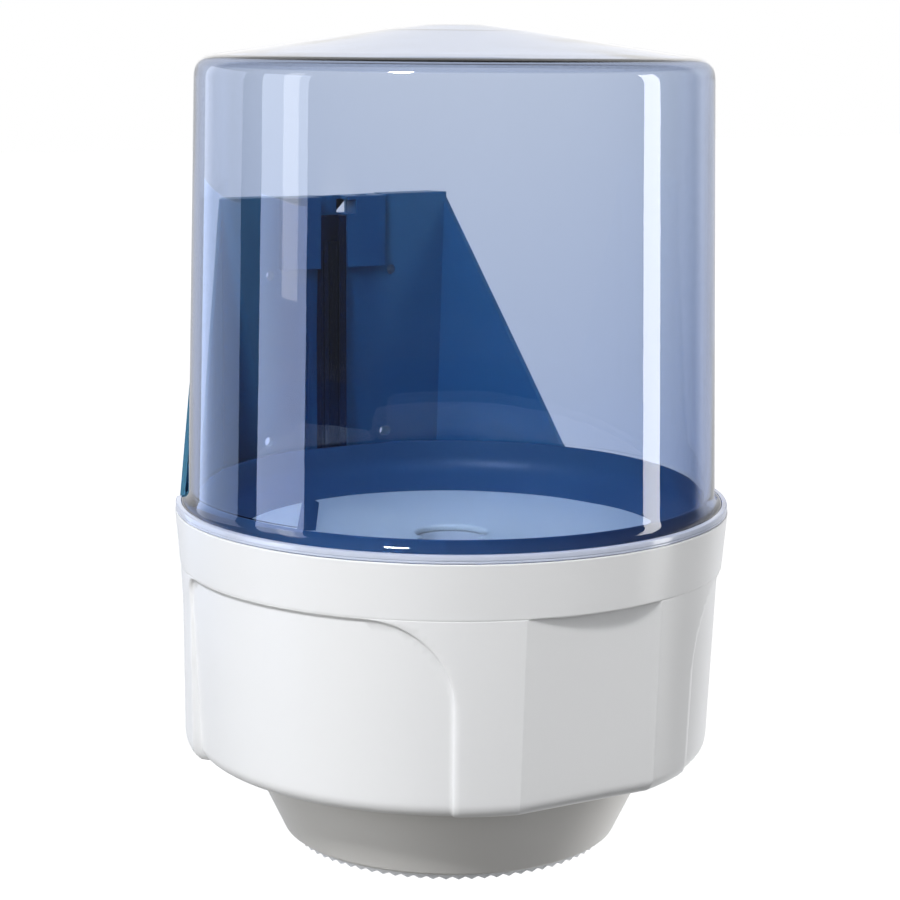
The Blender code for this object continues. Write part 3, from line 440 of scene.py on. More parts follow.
def coverOutline(step):
    # the outside from the crown down and round the foot's edge, then the inside back up to the crown
    c = cover
    outside = rounded([
        (0, c["crownZ"]),
        (c["crownFlat"], c["crownZ"]),
        (c["crownRing"], c["crownRingZ"]),
        (c["rimRadius"], c["rimZ"]),
        (c["footRadius"], c["footZ"]),
    ], c["outerRounds"], c["roundSteps"])
    outside += hollow(c["footRadius"], c["shellEdge"], c["footZ"], c["lipTopZ"])
    edge = [
        (c["shellEdge"] + c["bevelIn"], c["lipTopZ"] - c["bevelTop"]),
        (c["shellEdge"] + c["bevelIn"], c["spigotLowZ"] + c["bevelLow"]),
        (c["shellEdge"] - c["bevelIn"], c["spigotLowZ"]),
        (c["spigotInner"] + c["bevelIn"], c["spigotLowZ"]),
    ]
    drop = c["wall"]
    wallIn = c["footRadius"] - c["footWall"]
    lowZ = c["footZ"] - c["footDrop"]
    inside = [(c["spigotInner"], c["spigotLowZ"] + c["bevelTop"])]
    inside += reversed(hollow(wallIn + step, c["spigotInner"], lowZ, c["spigotTopZ"]))
    inside.append((wallIn + step, lowZ))
    inside += rounded([
        (wallIn, c["footZ"]),
        (c["rimRadius"] - drop, c["rimZ"] - drop * c["rimInnerDrop"]),
        (c["crownRing"], c["crownRingZ"] - drop),
        (c["crownFlat"], c["crownZ"] - drop),
        (0, c["crownZ"] - drop),
    ], c["innerRounds"], c["roundSteps"])
    return subdivided(outside) + edge, subdivided(inside)


def coverAngles():
    # closer together behind, where the drum runs into its flat strip
    c = cover
    landEdge = 180 - math.degrees(math.acos(c["landY"] / c["footRadius"]))
    rear = spread(c["lipEnd"] + c["lipEndStep"], landEdge, c["rearStep"])
    rear += spread(landEdge, 180, c["landStep"])
    angles = spread(-c["lipEnd"], c["lipEnd"], c["step"]) + rear + [-angle for angle in rear]
    return sorted({round(angle, 5) for angle in angles} - {-180.0})


def coverShape():
    c = cover
    rings = []
    for angle in coverAngles():
        facing = math.cos(math.radians(180 - angle))
        outside, inside = coverOutline(c["innerStep"] * smoothStep(*c["stepFrom"], abs(angle)))
        outer = inner = math.inf
        if abs(angle) > c["lipEnd"]:
            outer, inner = c["footRadius"], c["footRadius"] - c["footWall"] + c["innerStep"]
        if facing > 0:
            outer = min(outer, c["landY"] / facing)
            inner = min(inner, (c["landY"] - c["wall"]) / facing)
        ring = [polar(min(r, outer), angle, z) for r, z in outside]
        rings.append(ring + [polar(min(r, inner), angle, z) for r, z in inside])
    return shapeFrom(rings, True, False)


def lipShape():
    # the foot's outer edge, which stands on the casing's rim. Its pale opaque finish is painted light,
    # standing for the light seen in and through this clear edge
    c = cover
    outer, inner, groove = c["lipRadius"], c["lipInner"], c["grooveDepth"]
    outline = [(inner, c["lipTopZ"])]
    outline += [(outer - c["lipRound"] * x, c["lipTopZ"] - c["lipRound"] * z) for x, z in c["lipTurn"]]
    outline += [
        (outer, c["grooveZ"] + groove),
        (outer - groove, c["grooveZ"]),
        (outer, c["grooveZ"] - groove),
        (outer, c["lipLowZ"] + c["lipBevel"][1]),
        (outer - c["lipBevel"][0], c["lipLowZ"]),
        (inner, c["lipLowZ"]),
    ]
    angles = spread(-c["lipEnd"], c["lipEnd"], c["step"])
    verts, faces = shapeFrom([[polar(r, angle, z) for r, z in outline] for angle in angles], False)
    size = len(outline)
    faces += [list(range(size)), list(range(len(verts) - size, len(verts)))]
    return verts, faces


addPiece("coverShell", coverShape(), clearBlue, "cover", ["cover"], sharpAngle=40)
addPiece("coverLip", lipShape(), plastic["lip"], "cover", ["cover"], sharpAngle=40)
print("cover made")


# Casing: a rim band over a shield with a flat facet and a sunk panel each side

casing = {
    "rimRadius": 0.1225, "rimWall": 0.0012, "rimRound": 0.0004, "rimTurn": 0.3, "rimInner": (0.6, 0.0003),
    "bandLevels": (-0.0008, -0.0016, -0.006, -0.012, -0.018),
    "bandLowRadius": 0.1206, "bandLowZ": -0.0236, "grooveDepth": 0.00016, "grooveHeight": 0.0003,
    "skinTopZ": -0.0239, "skinTopRadius": 0.12055, "skinLowRadius": 0.11725, "skirtZ": -0.1008,
    "skinTopLevels": [-0.0239, -0.0242, -0.0248], "skinLevels": spread(-0.0262, -0.0620, 0.0030),
    "lowLevels": spread(-0.0655, -0.1008, 0.0040), "baseSteps": 9,
    "baseRound": 0.0072, "baseZ": -0.1080, "baseShare": 0.3, "baseLean": 0.25, "wall": 0.0025,
    "flankTop": 0.1203, "flankRadius": 0.1195, "flankLow": 0.1192, "flankBlend": 0.020, "flankRun": 0.06,
    "flankFrom": 60, "flankJoin": (100.1, 100.7),
    "facetAngle": 15.8, "facetLowAngle": 16.3, "facetSoft": 0.00010, "facetBead": 0.00010,
    "facetBeadWidth": 0.30, "facetReach": 4,
    "panelFront": 29.6, "panelRear": 100.6, "panelTopZ": -0.0242, "panelDepth": 0.00175,
    "frontCorner": 0.0362, "rearCorner": 0.0085, "cornerSteps": (32, 10), "sideStep": 0.0035,
    "topStep": 0.0033, "edgeSteps": (-0.0003, 0.0, 0.0003, 0.0006, 0.0010), "edgeClear": 0.0010,
    "domainFront": 27.4, "domainRear": 102.6, "sameAngle": 0.001,
    "frontAngles": spread(0, 14.6, 1.9) + spread(15.2, 16.9, 0.13) + spread(17.5, 27.4, 1.6) + [28.3, 29.0],
    "sideAngles": [30.8] + spread(31.5, 98.9, 1.6) + [99.6],
    "rearAngles": spread(101.2, 102.6, 0.7) + spread(103.8, 122.2, 1.5),
    "meshScale": 1000, "meshWithin": 0.00001, "sameFoot": 0.000002, "sameLevel": 0.0000001,
    "innerRound": 0.002, "innerMidZ": -0.060, "innerTop": (0.0003, -0.0250), "bandInner": (0.0004, -0.0215),
    "innerFrom": 0.003, "holeRadius": 0.0936, "holeRound": 0.0005,
    "shelfRadius": 0.1138, "shelfTopZ": -0.0056, "shelfLowZ": -0.0079, "gusset": 0.0026,
    "trayTopZ": -0.0029, "rearShare": 0.05,
}
toDegrees = 180 / math.pi / casing["skinTopRadius"]
skinLowest = casing["skirtZ"] - casing["baseRound"] * math.pi / 2


def skinPlace(v):
    # how far down the skin a value is: (z, inset), round the turn of the base
    c = casing
    if v >= c["skirtZ"]:
        return v, 0.0
    turn = min(1.0, (c["skirtZ"] - v) / (c["baseRound"] * math.pi / 2)) * math.pi / 2
    return c["skirtZ"] - c["baseRound"] * math.sin(turn), c["baseRound"] * (1 - math.cos(turn))


def panelInside(angle, v):
    # distance inside the panel's edge, along the skin
    c = casing
    fromFront = (abs(angle) - c["panelFront"]) / toDegrees
    fromRear = (c["panelRear"] - abs(angle)) / toDegrees
    fromTop = c["panelTopZ"] - v
    for across, corner in ((fromFront, c["frontCorner"]), (fromRear, c["rearCorner"])):
        if across < corner and fromTop < corner:
            return corner - math.hypot(corner - across, corner - fromTop)
    return min(fromFront, fromRear, fromTop)


def flankRadius(v):
    c = casing
    if v > c["skinTopZ"] - c["flankBlend"]:
        return mix(c["flankTop"], c["flankRadius"], smoothStep(0, c["flankBlend"], c["skinTopZ"] - v))
    down = c["skinTopZ"] - c["flankBlend"] - v
    return mix(c["flankRadius"], c["flankLow"], min(1.0, down / c["flankRun"]))


def skinRadius(angle, v):
    c = casing
    z, inset = skinPlace(v)
    level = max(z, c["skirtZ"])
    down = (level - c["skinTopZ"]) / (c["skirtZ"] - c["skinTopZ"])
    radius = mix(c["skinTopRadius"], c["skinLowRadius"], down)
    sunk = radius - c["panelDepth"]
    if abs(angle) < c["facetAngle"] + c["facetReach"]:
        corner = mix(c["facetAngle"], c["facetLowAngle"], down)
        flat = radius * math.cos(math.radians(corner)) / math.cos(math.radians(angle))
        share = min(1.0, max(0.0, 0.5 + 0.5 * (flat - radius) / c["facetSoft"]))
        radius = mix(flat, radius, share) - c["facetSoft"] * share * (1 - share)
        radius += c["facetBead"] * math.exp(-(((abs(angle) - corner) / c["facetBeadWidth"]) ** 2))
    if abs(angle) > c["flankFrom"]:
        radius = mix(radius, flankRadius(level), smoothStep(*c["flankJoin"], abs(angle)))
    depth = smoothStep(c["edgeSteps"][0], c["edgeSteps"][-1], panelInside(angle, v))
    return mix(radius, sunk, depth) - inset


def skinPoint(station, v):
    part, value = station
    z, inset = skinPlace(v)
    if part == "arc":
        return polar(skinRadius(value, v), value, z)
    return planPoint(station, flankRadius(z) - inset, inset * casing["baseLean"], z)


def casingAngles():
    # close together at the edges of the facet and of the panels
    c = casing
    edges = [step * toDegrees for step in c["edgeSteps"]]
    half = c["frontAngles"] + [c["panelFront"] + edge for edge in edges] + c["sideAngles"]
    half += [c["panelRear"] - edge for edge in reversed(edges)] + c["rearAngles"]
    return [-angle for angle in reversed(half[1:])] + half


def casingUpper(station):
    # the rim and the band under it. Behind, the rim is cut down to the tray.
    c = casing
    levels = [*c["bandLevels"], c["bandLowZ"] + 3 * c["grooveHeight"], c["bandLowZ"] + c["grooveHeight"]]
    outline = [
        (c["rimRadius"] - c["rimRound"], 0.0),
        (c["rimRadius"] - c["rimRound"] * c["rimTurn"], -c["rimRound"] * c["rimTurn"]),
        (c["rimRadius"], -c["rimRound"]),
    ]
    outline += [(mix(c["rimRadius"], c["bandLowRadius"], z / c["bandLowZ"]), z) for z in levels]
    outline.append((c["bandLowRadius"] - c["grooveDepth"], c["bandLowZ"]))
    return [planPoint(station, r, 0, cutDown(station, z)) for r, z in outline]


def cutDown(station, z):
    part, value = station
    behind = part == "back" or part == "flank" and abs(value) == 1.0
    return min(z, casing["trayTopZ"] + z * casing["rearShare"]) if behind else z


def casingInner(station, base):
    # from the base in to the hole, up the inside to the shelf and up to the rim
    c = casing
    low = top = c["flankRadius"]
    if station[0] == "arc":
        low = skinRadius(station[1], c["skirtZ"])
        top = skinRadius(station[1], c["skinTopZ"] - c["innerFrom"])
    wall, turn, rimWall = c["wall"], c["innerRound"], c["rimWall"]
    floorZ = c["baseZ"] + wall
    rimIn = c["rimRadius"] - rimWall
    bandIn, bandZ = c["bandInner"]
    topIn, topZ = c["innerTop"]
    inShare, inBack = c["rimInner"]
    return [
        mix(base, holePoint(station, c["holeRadius"], c["baseZ"]), c["baseShare"]),
        holePoint(station, c["holeRadius"] + c["holeRound"], c["baseZ"]),
        holePoint(station, c["holeRadius"], c["baseZ"] + c["holeRound"]),
        holePoint(station, c["holeRadius"], floorZ),
        planPoint(station, low - wall - turn, wall + turn, floorZ),
        planPoint(station, low - wall, wall, floorZ + turn),
        planPoint(station, min(low, top) - wall, wall, c["innerMidZ"]),
        planPoint(station, top - wall - topIn, wall, topZ),
        planPoint(station, c["bandLowRadius"] - wall + bandIn, wall, bandZ),
        planPoint(station, rimIn - wall, wall, c["shelfLowZ"] - c["gusset"]),
        holePoint(station, c["shelfRadius"], c["shelfLowZ"]),
        holePoint(station, c["shelfRadius"], c["shelfTopZ"]),
        planPoint(station, rimIn, rimWall, c["shelfTopZ"]),
        planPoint(station, rimIn, rimWall, cutDown(station, -c["rimRound"])),
        planPoint(station, rimIn + c["rimRound"] * inShare, rimWall - inBack, cutDown(station, 0)),
    ]


def casingShape():
    # a plain grid all round, apart from the two stretches that hold a panel
    c = casing
    angles = casingAngles()
    turnLength = c["baseRound"] * math.pi / 2
    levels = c["skinTopLevels"] + c["skinLevels"] + c["lowLevels"]
    levels += [c["skirtZ"] - turnLength * (i + 1) / c["baseSteps"] for i in range(c["baseSteps"])]
    rings = []
    for station in planStations(angles):
        upper = casingUpper(station)
        skin = [skinPoint(station, level) for level in levels]
        rings.append(upper + skin + casingInner(station, skin[-1]))
    verts, faces = shapeFrom(rings)
    size, first = len(rings[0]), len(upper)
    near, far = c["domainFront"] - c["sameAngle"], c["domainRear"] + c["sameAngle"]
    spans = {side: [i for i, angle in enumerate(angles) if near <= side * angle <= far] for side in (-1, 1)}
    dropped = {(i, first + k) for span in spans.values() for i in span[:-1] for k in range(len(levels) - 1)}
    faces = [face for face in faces if (face[0] // size, face[0] % size) not in dropped]
    for side, span in spans.items():
        addPanelMesh(verts, faces, side, span, angles, levels, size, first)
    return verts, faces


def panelCurve(inside):
    # a line in the skin at this distance inside the panel's edge, from the front edge's foot to the rear's
    c = casing
    front = c["panelFront"] / toDegrees + inside
    rear = c["panelRear"] / toDegrees - inside
    top = c["panelTopZ"] - inside
    big, small = c["frontCorner"] - inside, c["rearCorner"] - inside
    bigTurns, smallTurns = ([math.pi / 2 * k / steps for k in range(steps + 1)] for steps in c["cornerSteps"])
    points = [(front, v) for v in spread(skinLowest, top - big, c["sideStep"])[:-1]]
    points += [(front + big - big * math.cos(turn), top - big + big * math.sin(turn)) for turn in bigTurns]
    points += [(u, top) for u in spread(front + big, rear - small, c["topStep"])[1:-1]]
    smallTurned = [(small * (1 - math.sin(turn)), small * (1 - math.cos(turn))) for turn in smallTurns]
    points += [(rear - across, top - down) for across, down in smallTurned]
    points += [(rear, v) for v in reversed(spread(skinLowest, top - small, c["sideStep"])[:-1])]
    return points


def addPanelMesh(verts, faces, side, span, angles, levels, size, first):
    # fills one stretch with triangles that follow the panel's edge
    c = casing
    scale, last = c["meshScale"], len(levels) - 1
    flat, owner, edges = [], [], []

    def add(u, v, index):
        flat.append(Vector((u * scale, v * scale)))
        owner.append(index)
        return len(flat) - 1

    border = [(i, 0) for i in span] + [(span[-1], k) for k in range(1, last + 1)]
    border += [(i, last) for i in reversed(span[:-1])] + [(span[0], k) for k in range(last - 1, 0, -1)]
    foot, ring = [], []
    for i, k in border:
        u = abs(angles[i]) / toDegrees
        ring.append(add(u, skinLowest if k == last else levels[k], i * size + first + k))
        if k == last:
            foot.append((u, ring[-1]))
    edges += list(zip(ring, ring[1:] + ring[:1]))
    for inside in c["edgeSteps"]:
        chain = []
        for u, v in panelCurve(inside):
            near = [index for place, index in foot if abs(place - u) < c["sameFoot"]]
            atFoot = near and abs(v - skinLowest) < c["sameLevel"]
            chain.append(near[0] if atFoot else add(u, v, None))
        edges += list(zip(chain, chain[1:]))
    outer, inner = c["edgeSteps"][0] - c["edgeClear"], c["edgeSteps"][-1] + c["edgeClear"]
    for i in span[1:-1]:
        for level in levels[1:-1]:
            if not outer <= panelInside(angles[i], level) <= inner:
                add(abs(angles[i]) / toDegrees, level, None)
    points, _, triangles, origins, _, _ = delaunay_2d_cdt(flat, edges, [], 0, c["meshWithin"])
    places = []
    for point, origin in zip(points, origins):
        known = [owner[j] for j in origin if owner[j] is not None]
        if not known:
            verts.append(skinPoint(("arc", side * point.x / scale * toDegrees), point.y / scale))
        places.append(known[0] if known else len(verts) - 1)
    for triangle in triangles:
        corners = [places[j] for j in triangle]
        if len(set(corners)) == 3:
            faces.append(corners)


addPiece("casingShell", casingShape(), plastic["white"], "body", ["casing"], sharpAngle=50)
print("casing made")


# Roll tray, floor plate and paper guide

tray = {
    "topZ": -0.0029, "deck": 0.0024, "bowlTop": 0.1130, "bowlWall": 0.0022, "floorRadius": 0.0961,
    "floorZ": -0.0139, "floorThickness": 0.0031, "ledgeRadius": 0.0900, "ledge": 0.0025,
    "edge": 0.1210, "edgeFromWall": 0.0015, "lap": 0.0020, "bowlEdge": 0.0012, "step": 2.0,
    "ringZ": 0.0080, "ringOuter": 0.1121, "ringInner": 0.1108, "ringSlack": 0.0008,
    "flatDown": 0.0060, "flatOut": 0.0001,
    "rounds": (0, 0.0006, 0.0006, 0.0004, 0.0003, 0.0003, 0.0002, 0.0005, 0.0120, 0.0005, 0.0005, 0.0012, 0),
    "roundSteps": 5,
}


def trayShape():
    t = tray
    gap = plan["gap"]
    slope = (t["bowlTop"] - t["floorRadius"] - gap) / (t["topZ"] - t["floorZ"])
    lean = math.hypot(1, slope)
    deckLow = t["topZ"] - t["deck"]
    seat = t["floorRadius"] + gap
    ledgeTop = t["floorZ"] - t["floorThickness"] - gap
    deckIn = t["bowlTop"] - slope * t["deck"] + t["bowlWall"]
    outline = rounded([
        (deckIn + t["lap"], deckLow),
        (deckIn, deckLow),
        (seat + t["bowlWall"], t["floorZ"] - t["bowlWall"] / lean),
        (seat + t["bowlWall"], ledgeTop - t["ledge"]),
        (t["ledgeRadius"], ledgeTop - t["ledge"]),
        (t["ledgeRadius"], ledgeTop),
        (seat, ledgeTop),
        (seat, t["floorZ"]),
        (t["ringInner"], t["topZ"] - t["bowlEdge"]),
        (t["ringInner"], t["ringZ"]),
        (t["ringOuter"], t["ringZ"]),
        (t["ringOuter"], t["topZ"]),
        (deckIn + t["lap"], t["topZ"]),
    ], t["rounds"], t["roundSteps"])
    # behind, the wall runs along the flat of the cover
    flat = cover["landY"] - cover["footWall"] - t["ringSlack"]
    rings = []
    for station in planStations(spread(-plan["tangentAngle"], plan["tangentAngle"], t["step"])):
        ring = [planPoint(station, t["edge"], t["edgeFromWall"], z) for z in (t["topZ"], deckLow)]
        facing = math.cos(math.radians(180 - stationAngle(station)))
        for r, z in outline:
            back = flat - (t["ringOuter"] - r)
            if z > t["topZ"] - t["flatDown"] and r < t["ringOuter"] + t["flatOut"] and facing > 0:
                r = min(r, back / facing)
            ring.append(holePoint(station, r, z))
        rings.append(ring)
    return shapeFrom(rings)


addPiece("rollTray", trayShape(), plastic["tray"], "body", ["roll_tray"], sharpAngle=50)

floor = {
    "radius": 0.0961, "topZ": -0.0139, "thickness": 0.0031, "hole": 0.0160,
    "rounds": (0.0005, 0.0005, 0.0005, 0.00168), "roundSteps": 4, "steps": 144,
}


def floorShape():
    f = floor
    low = f["topZ"] - f["thickness"]
    corners = [(f["radius"], f["topZ"]), (f["radius"], low), (f["hole"], low), (f["hole"], f["topZ"])]
    return turnedShape(corners, f)


addPiece("floorPlate", floorShape(), plastic["floor"], "body", ["floor_plate"], sharpAngle=50)

guide = {
    "flangeRadius": 0.0300, "flange": 0.0022, "top": 0.0160, "throat": 0.0130, "throatDrop": 0.0130,
    "mouth": 0.0095, "length": 0.0330, "wall": 0.0022, "steps": 96, "roundSteps": 5,
    "rounds": (0.0008, 0.0060, 0.0006, 0.0006, 0.0060, 0.0010, 0.0005, 0.0005),
}


def guideShape():
    g = guide
    top = floor["topZ"] - floor["thickness"] - plan["gap"]
    throat = top - g["throatDrop"]
    mouth = top - g["length"]
    return turnedShape([
        (g["top"], top),
        (g["throat"], throat),
        (g["mouth"], mouth),
        (g["mouth"] + g["wall"], mouth),
        (g["throat"] + g["wall"], throat),
        (g["top"] + g["wall"], top - g["flange"]),
        (g["flangeRadius"], top - g["flange"]),
        (g["flangeRadius"], top),
    ], g)


addPiece("paperGuide", guideShape(), plastic["pale"], "body", ["paper_guide"], sharpAngle=45)
print("tray, floor and paper guide made")


# Neck, and the toothed ring in its mouth

neck = {
    "flangeRadius": 0.1030, "flange": 0.0025, "radius": 0.0929, "lowRadius": 0.0752, "lowZ": -0.1456,
    "lipRadius": 0.0732, "lipZ": -0.1469, "wall": 0.0026, "shoulder": 0.0015, "shoulderHeight": 0.0027,
    "rounds": (
        0.0004, 0.0004, 0.0002, 0.0006, 0.0016, 0.0010, 0.0002,
        0.0002, 0.0002, 0.0004, 0.0010, 0.0010, 0.0004,
    ),
    "roundSteps": 4, "steps": 180,
}
teeth = {
    "count": 80, "outer": 0.0716, "inner": 0.0686, "topZ": -0.1416, "valleyZ": -0.1487, "tipZ": -0.1500,
    "lowInset": 0.0006, "slack": 0.0004, "sunk": 0.0001, "rounds": (0.0004, 0.0004, 0.0003, 0.0003),
    "roundSteps": 3, "steps": 160, "sharpAngle": 40,
}


def neckShape():
    n = neck
    flangeLow = casing["baseZ"] + casing["wall"] + plan["gap"]
    flangeTop = flangeLow + n["flange"]
    knee = casing["baseZ"] - plan["gap"]
    seat = teeth["outer"] + plan["gap"]
    shoulderLow = teeth["topZ"] + plan["gap"]
    shoulderTop = shoulderLow + n["shoulderHeight"]
    flareZ = shoulderTop + n["shoulderHeight"]
    slope = (n["radius"] - n["lowRadius"]) / (knee - n["lowZ"])
    flare = n["lowRadius"] + slope * (flareZ - n["lowZ"]) - n["wall"]
    return turnedShape([
        (n["flangeRadius"], flangeTop),
        (n["flangeRadius"], flangeLow),
        (n["radius"], flangeLow),
        (n["radius"], knee),
        (n["lowRadius"], n["lowZ"]),
        (n["lipRadius"], n["lipZ"]),
        (seat, n["lipZ"]),
        (seat, shoulderLow),
        (seat - n["shoulder"], shoulderLow),
        (seat - n["shoulder"], shoulderTop),
        (flare, flareZ),
        (n["radius"] - n["wall"], knee),
        (n["radius"] - n["wall"], flangeTop),
    ], n)


addPiece("neckCone", neckShape(), plastic["pale"], "body", ["neck_cone"], sharpAngle=45)


def newTree(name, inputs):
    # a tree for a modifier, and the values that come into it, by name
    tree = bpy.data.node_groups.new(name, "GeometryNodeTree")
    tree.interface.new_socket("Geometry", in_out="INPUT", socket_type="NodeSocketGeometry")
    for kind, labels in inputs.items():
        for label in labels:
            tree.interface.new_socket(label, in_out="INPUT", socket_type="NodeSocket" + kind)
    tree.interface.new_socket("Geometry", in_out="OUTPUT", socket_type="NodeSocketGeometry")
    return tree, addNode(tree, "NodeGroupInput").outputs


def endTree(tree, parts, finish):
    # the parts become one plain mesh with one finish
    real = outOf(tree, "GeometryNodeRealizeInstances", outOf(tree, "GeometryNodeJoinGeometry", parts))
    addNode(tree, "NodeGroupOutput", outOf(tree, "GeometryNodeSetMaterial", Geometry=real, Material=finish))
    return tree


def runTree(made, tree, values):
    # values are set by the sockets' identifiers, then the result is made a plain mesh
    modifier = made.modifiers.new(tree.name, "NODES")
    modifier.node_group = tree
    for item in tree.interface.items_tree:
        if item.item_type == "SOCKET" and item.in_out == "INPUT" and item.name in values:
            modifier[item.identifier] = values[item.name]
    made.update_tag()
    bpy.context.view_layer.update()
    return baked(made)


def toothTree():
    tree, given = newTree("tearTeeth", {
        "Int": ["Count"],
        "Float": ["Ring Radius", "Wall", "Tooth Width", "Tooth Length", "Root Height", "Axis Y"],
        "Material": ["Finish"],
    })
    node = partial(outOf, tree)

    def maths(operation, *values):
        return node("ShaderNodeMath", *values, operation=operation)

    # a disc of four corners is turned to face outwards and drawn down to the tooth's length
    halfWidth = maths("MULTIPLY", given["Tooth Width"], 0.5)
    disc = node(
        "GeometryNodeMeshCylinder", fill_type="TRIANGLE_FAN",
        Vertices=4, Radius=halfWidth, Depth=given["Wall"],
    )
    turned = node("GeometryNodeTransform", disc, Rotation=(math.pi / 2, 0, math.pi / 2))
    drawn = node("ShaderNodeCombineXYZ", 1.0, 1.0, maths("DIVIDE", given["Tooth Length"], halfWidth))
    tooth = node("GeometryNodeTransform", turned, Scale=drawn)
    line = node("GeometryNodeMeshLine", Count=given["Count"], Offset=(0, 0, 0))
    turn = maths("DIVIDE", node("GeometryNodeInputIndex"), given["Count"])
    angle = maths("MULTIPLY", turn, 2 * math.pi)
    x, y = (maths("MULTIPLY", maths(wave, angle), given["Ring Radius"]) for wave in ("COSINE", "SINE"))
    spot = node("ShaderNodeCombineXYZ", x, maths("ADD", y, given["Axis Y"]), given["Root Height"])
    spots = node("GeometryNodeSetPosition", Geometry=line, Position=spot)
    facing = node("ShaderNodeCombineXYZ", Z=angle)
    copies = node("GeometryNodeInstanceOnPoints", Points=spots, Instance=tooth, Rotation=facing)
    return endTree(tree, [copies, given["Geometry"]], given["Finish"])


def makeTearRing():
    t = teeth
    top, low = t["topZ"], t["valleyZ"]
    outer = t["outer"] - t["lowInset"]
    corners = [(t["outer"], top), (t["inner"], top), (t["inner"], low), (outer, low)]
    made = addMesh("tearRing", turnedShape(corners, t))
    middle = (outer + t["inner"]) / 2
    runTree(made, toothTree(), {
        "Count": t["count"], "Ring Radius": middle, "Wall": outer - t["inner"] - t["slack"],
        "Tooth Width": 2 * math.pi * middle / t["count"], "Tooth Length": low - t["tipZ"],
        "Root Height": low + t["sunk"], "Axis Y": -plan["axisToWall"], "Finish": plastic["ring"],
    })
    smoothed(made, t["sharpAngle"])
    return settle(made, "body", ["tear_ring"])


makeTearRing()
print("neck and toothed ring made")


# Back body, rail and lock: the CAD's own walls with moulded edges

# the CAD node, its finish, body and slot, and how wide its edges are rounded
moulded = {
    "backBody": ("back_body", plastic["blue"], "body", "blue_plastic", 0.0005),
    # the guide rail's near-black finish is painted shade
    "guideRail": ("guide_rail", plastic["dark"], "body", "dark_plastic", 0.00012),
    "lockHousing": ("lock_housing", plastic["blue"], "body", "blue_plastic", 0.0005),
    "lockPlate": ("lock_plate", plastic["blue"], "body", "blue_plastic", 0.0003),
    "lockBolt": ("lock_bolt", plastic["dark"], "bolt", "dark_plastic", 0.0004),
    "coverRib": ("cover_rib", clearBlue, "cover", "clear_blue_plastic", 0.0003),
}
for name, settings in moulded.items():
    softened(name, *settings)
print("back body, rail and lock made")


# Screws: pan heads with a cross recess, put where the CAD's screws stand

screws = {
    "headRadius": 0.0027, "headHeight": 0.0016, "headTop": 0.72, "headSides": 28, "shankRadius": 0.0014,
    "shankSides": 16, "recess": 0.0030, "recessWidth": 0.0006, "recessDepth": 0.0009, "sharpAngle": 30,
}


def screwTree():
    tree, given = newTree("panScrews", {
        "Float": [
            "Head Radius", "Head Height", "Shank Radius", "Recess Length", "Recess Width", "Recess Depth",
        ],
        "Material": ["Finish"],
    })
    node = partial(outOf, tree)

    def times(value, factor):
        return node("ShaderNodeMath", value, factor, operation="MULTIPLY")

    def moved(geometry, up):
        return node("GeometryNodeTransform", geometry, Translation=node("ShaderNodeCombineXYZ", Z=up))

    def attribute(name, kind):
        return node("GeometryNodeInputNamedAttribute", data_type=kind, Name=name)

    # the head's seat is at z = 0, its top towards -Z and the shank towards +Z
    head = node(
        "GeometryNodeMeshCone", fill_type="NGON", Vertices=screws["headSides"], Depth=given["Head Height"],
        Radius_Top=times(given["Head Radius"], screws["headTop"]), Radius_Bottom=given["Head Radius"],
    )
    flipped = node("GeometryNodeTransform", head, Rotation=(math.pi, 0, 0))
    length, width, depth = given["Recess Length"], given["Recess Width"], times(given["Recess Depth"], 2.0)
    bars = [node("GeometryNodeMeshCube", node("ShaderNodeCombineXYZ", x, y, depth))
            for x, y in ((length, width), (width, length))]
    cuts = [moved(bar, times(given["Head Height"], -1.0)) for bar in bars]
    crossed = node("GeometryNodeMeshBoolean", operation="DIFFERENCE", Mesh_1=flipped, Mesh_2=cuts)
    shank = node(
        "GeometryNodeMeshCylinder", Vertices=screws["shankSides"], Depth=1.0, Radius=given["Shank Radius"],
    )
    aim = node("FunctionNodeAlignRotationToVector", axis="Z", Vector=attribute("aim", "FLOAT_VECTOR"))
    reach = node("ShaderNodeCombineXYZ", 1.0, 1.0, attribute("reach", "FLOAT"))
    points = {"Points": given["Geometry"], "Rotation": aim}
    heads = node("GeometryNodeInstanceOnPoints", Instance=crossed, **points)
    shanks = node("GeometryNodeInstanceOnPoints", Instance=moved(shank, 0.5), Scale=reach, **points)
    return endTree(tree, [heads, shanks], given["Finish"])


def makeScrews():
    # each screw's seat, direction and reach come from its CAD node's box
    kinds = [("body_screw", 4, (0, 0, 1)), ("neck_screw", 4, (0, 0, -1)), ("guide_screw", 3, (0, 0, 1)),
             ("rail_screw", 2, (0, -1, 0)), ("lock_screw", 2, (0, -1, 0))]
    seats, aims, reaches, replaced = [], [], [], []
    for kind, count, direction in kinds:
        for i in range(count):
            node = f"{kind}_{i + 1}"
            low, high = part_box(node)
            along = Vector(direction)
            length = abs((high - low).dot(along))
            seats.append((low + high) / 2 - along * (length / 2 - screws["headHeight"]))
            aims += direction
            reaches.append(length - screws["headHeight"])
            replaced.append(node)
    mesh = bpy.data.meshes.new("screws")
    mesh.from_pydata(seats, [], [])
    mesh.attributes.new("aim", "FLOAT_VECTOR", "POINT").data.foreach_set("vector", aims)
    mesh.attributes.new("reach", "FLOAT", "POINT").data.foreach_set("value", reaches)
    made = runTree(addObject("screws", mesh), screwTree(), {
        "Head Radius": screws["headRadius"], "Head Height": screws["headHeight"],
        "Shank Radius": screws["shankRadius"], "Recess Length": screws["recess"],
        "Recess Width": screws["recessWidth"], "Recess Depth": screws["recessDepth"], "Finish": screwSteel,
    })
    smoothed(made, screws["sharpAngle"])
    for name in ("aim", "reach"):
        if name in made.data.attributes:
            made.data.attributes.remove(made.data.attributes[name])
    return settle(made, "body", replaced)


makeScrews()
print("screws made")


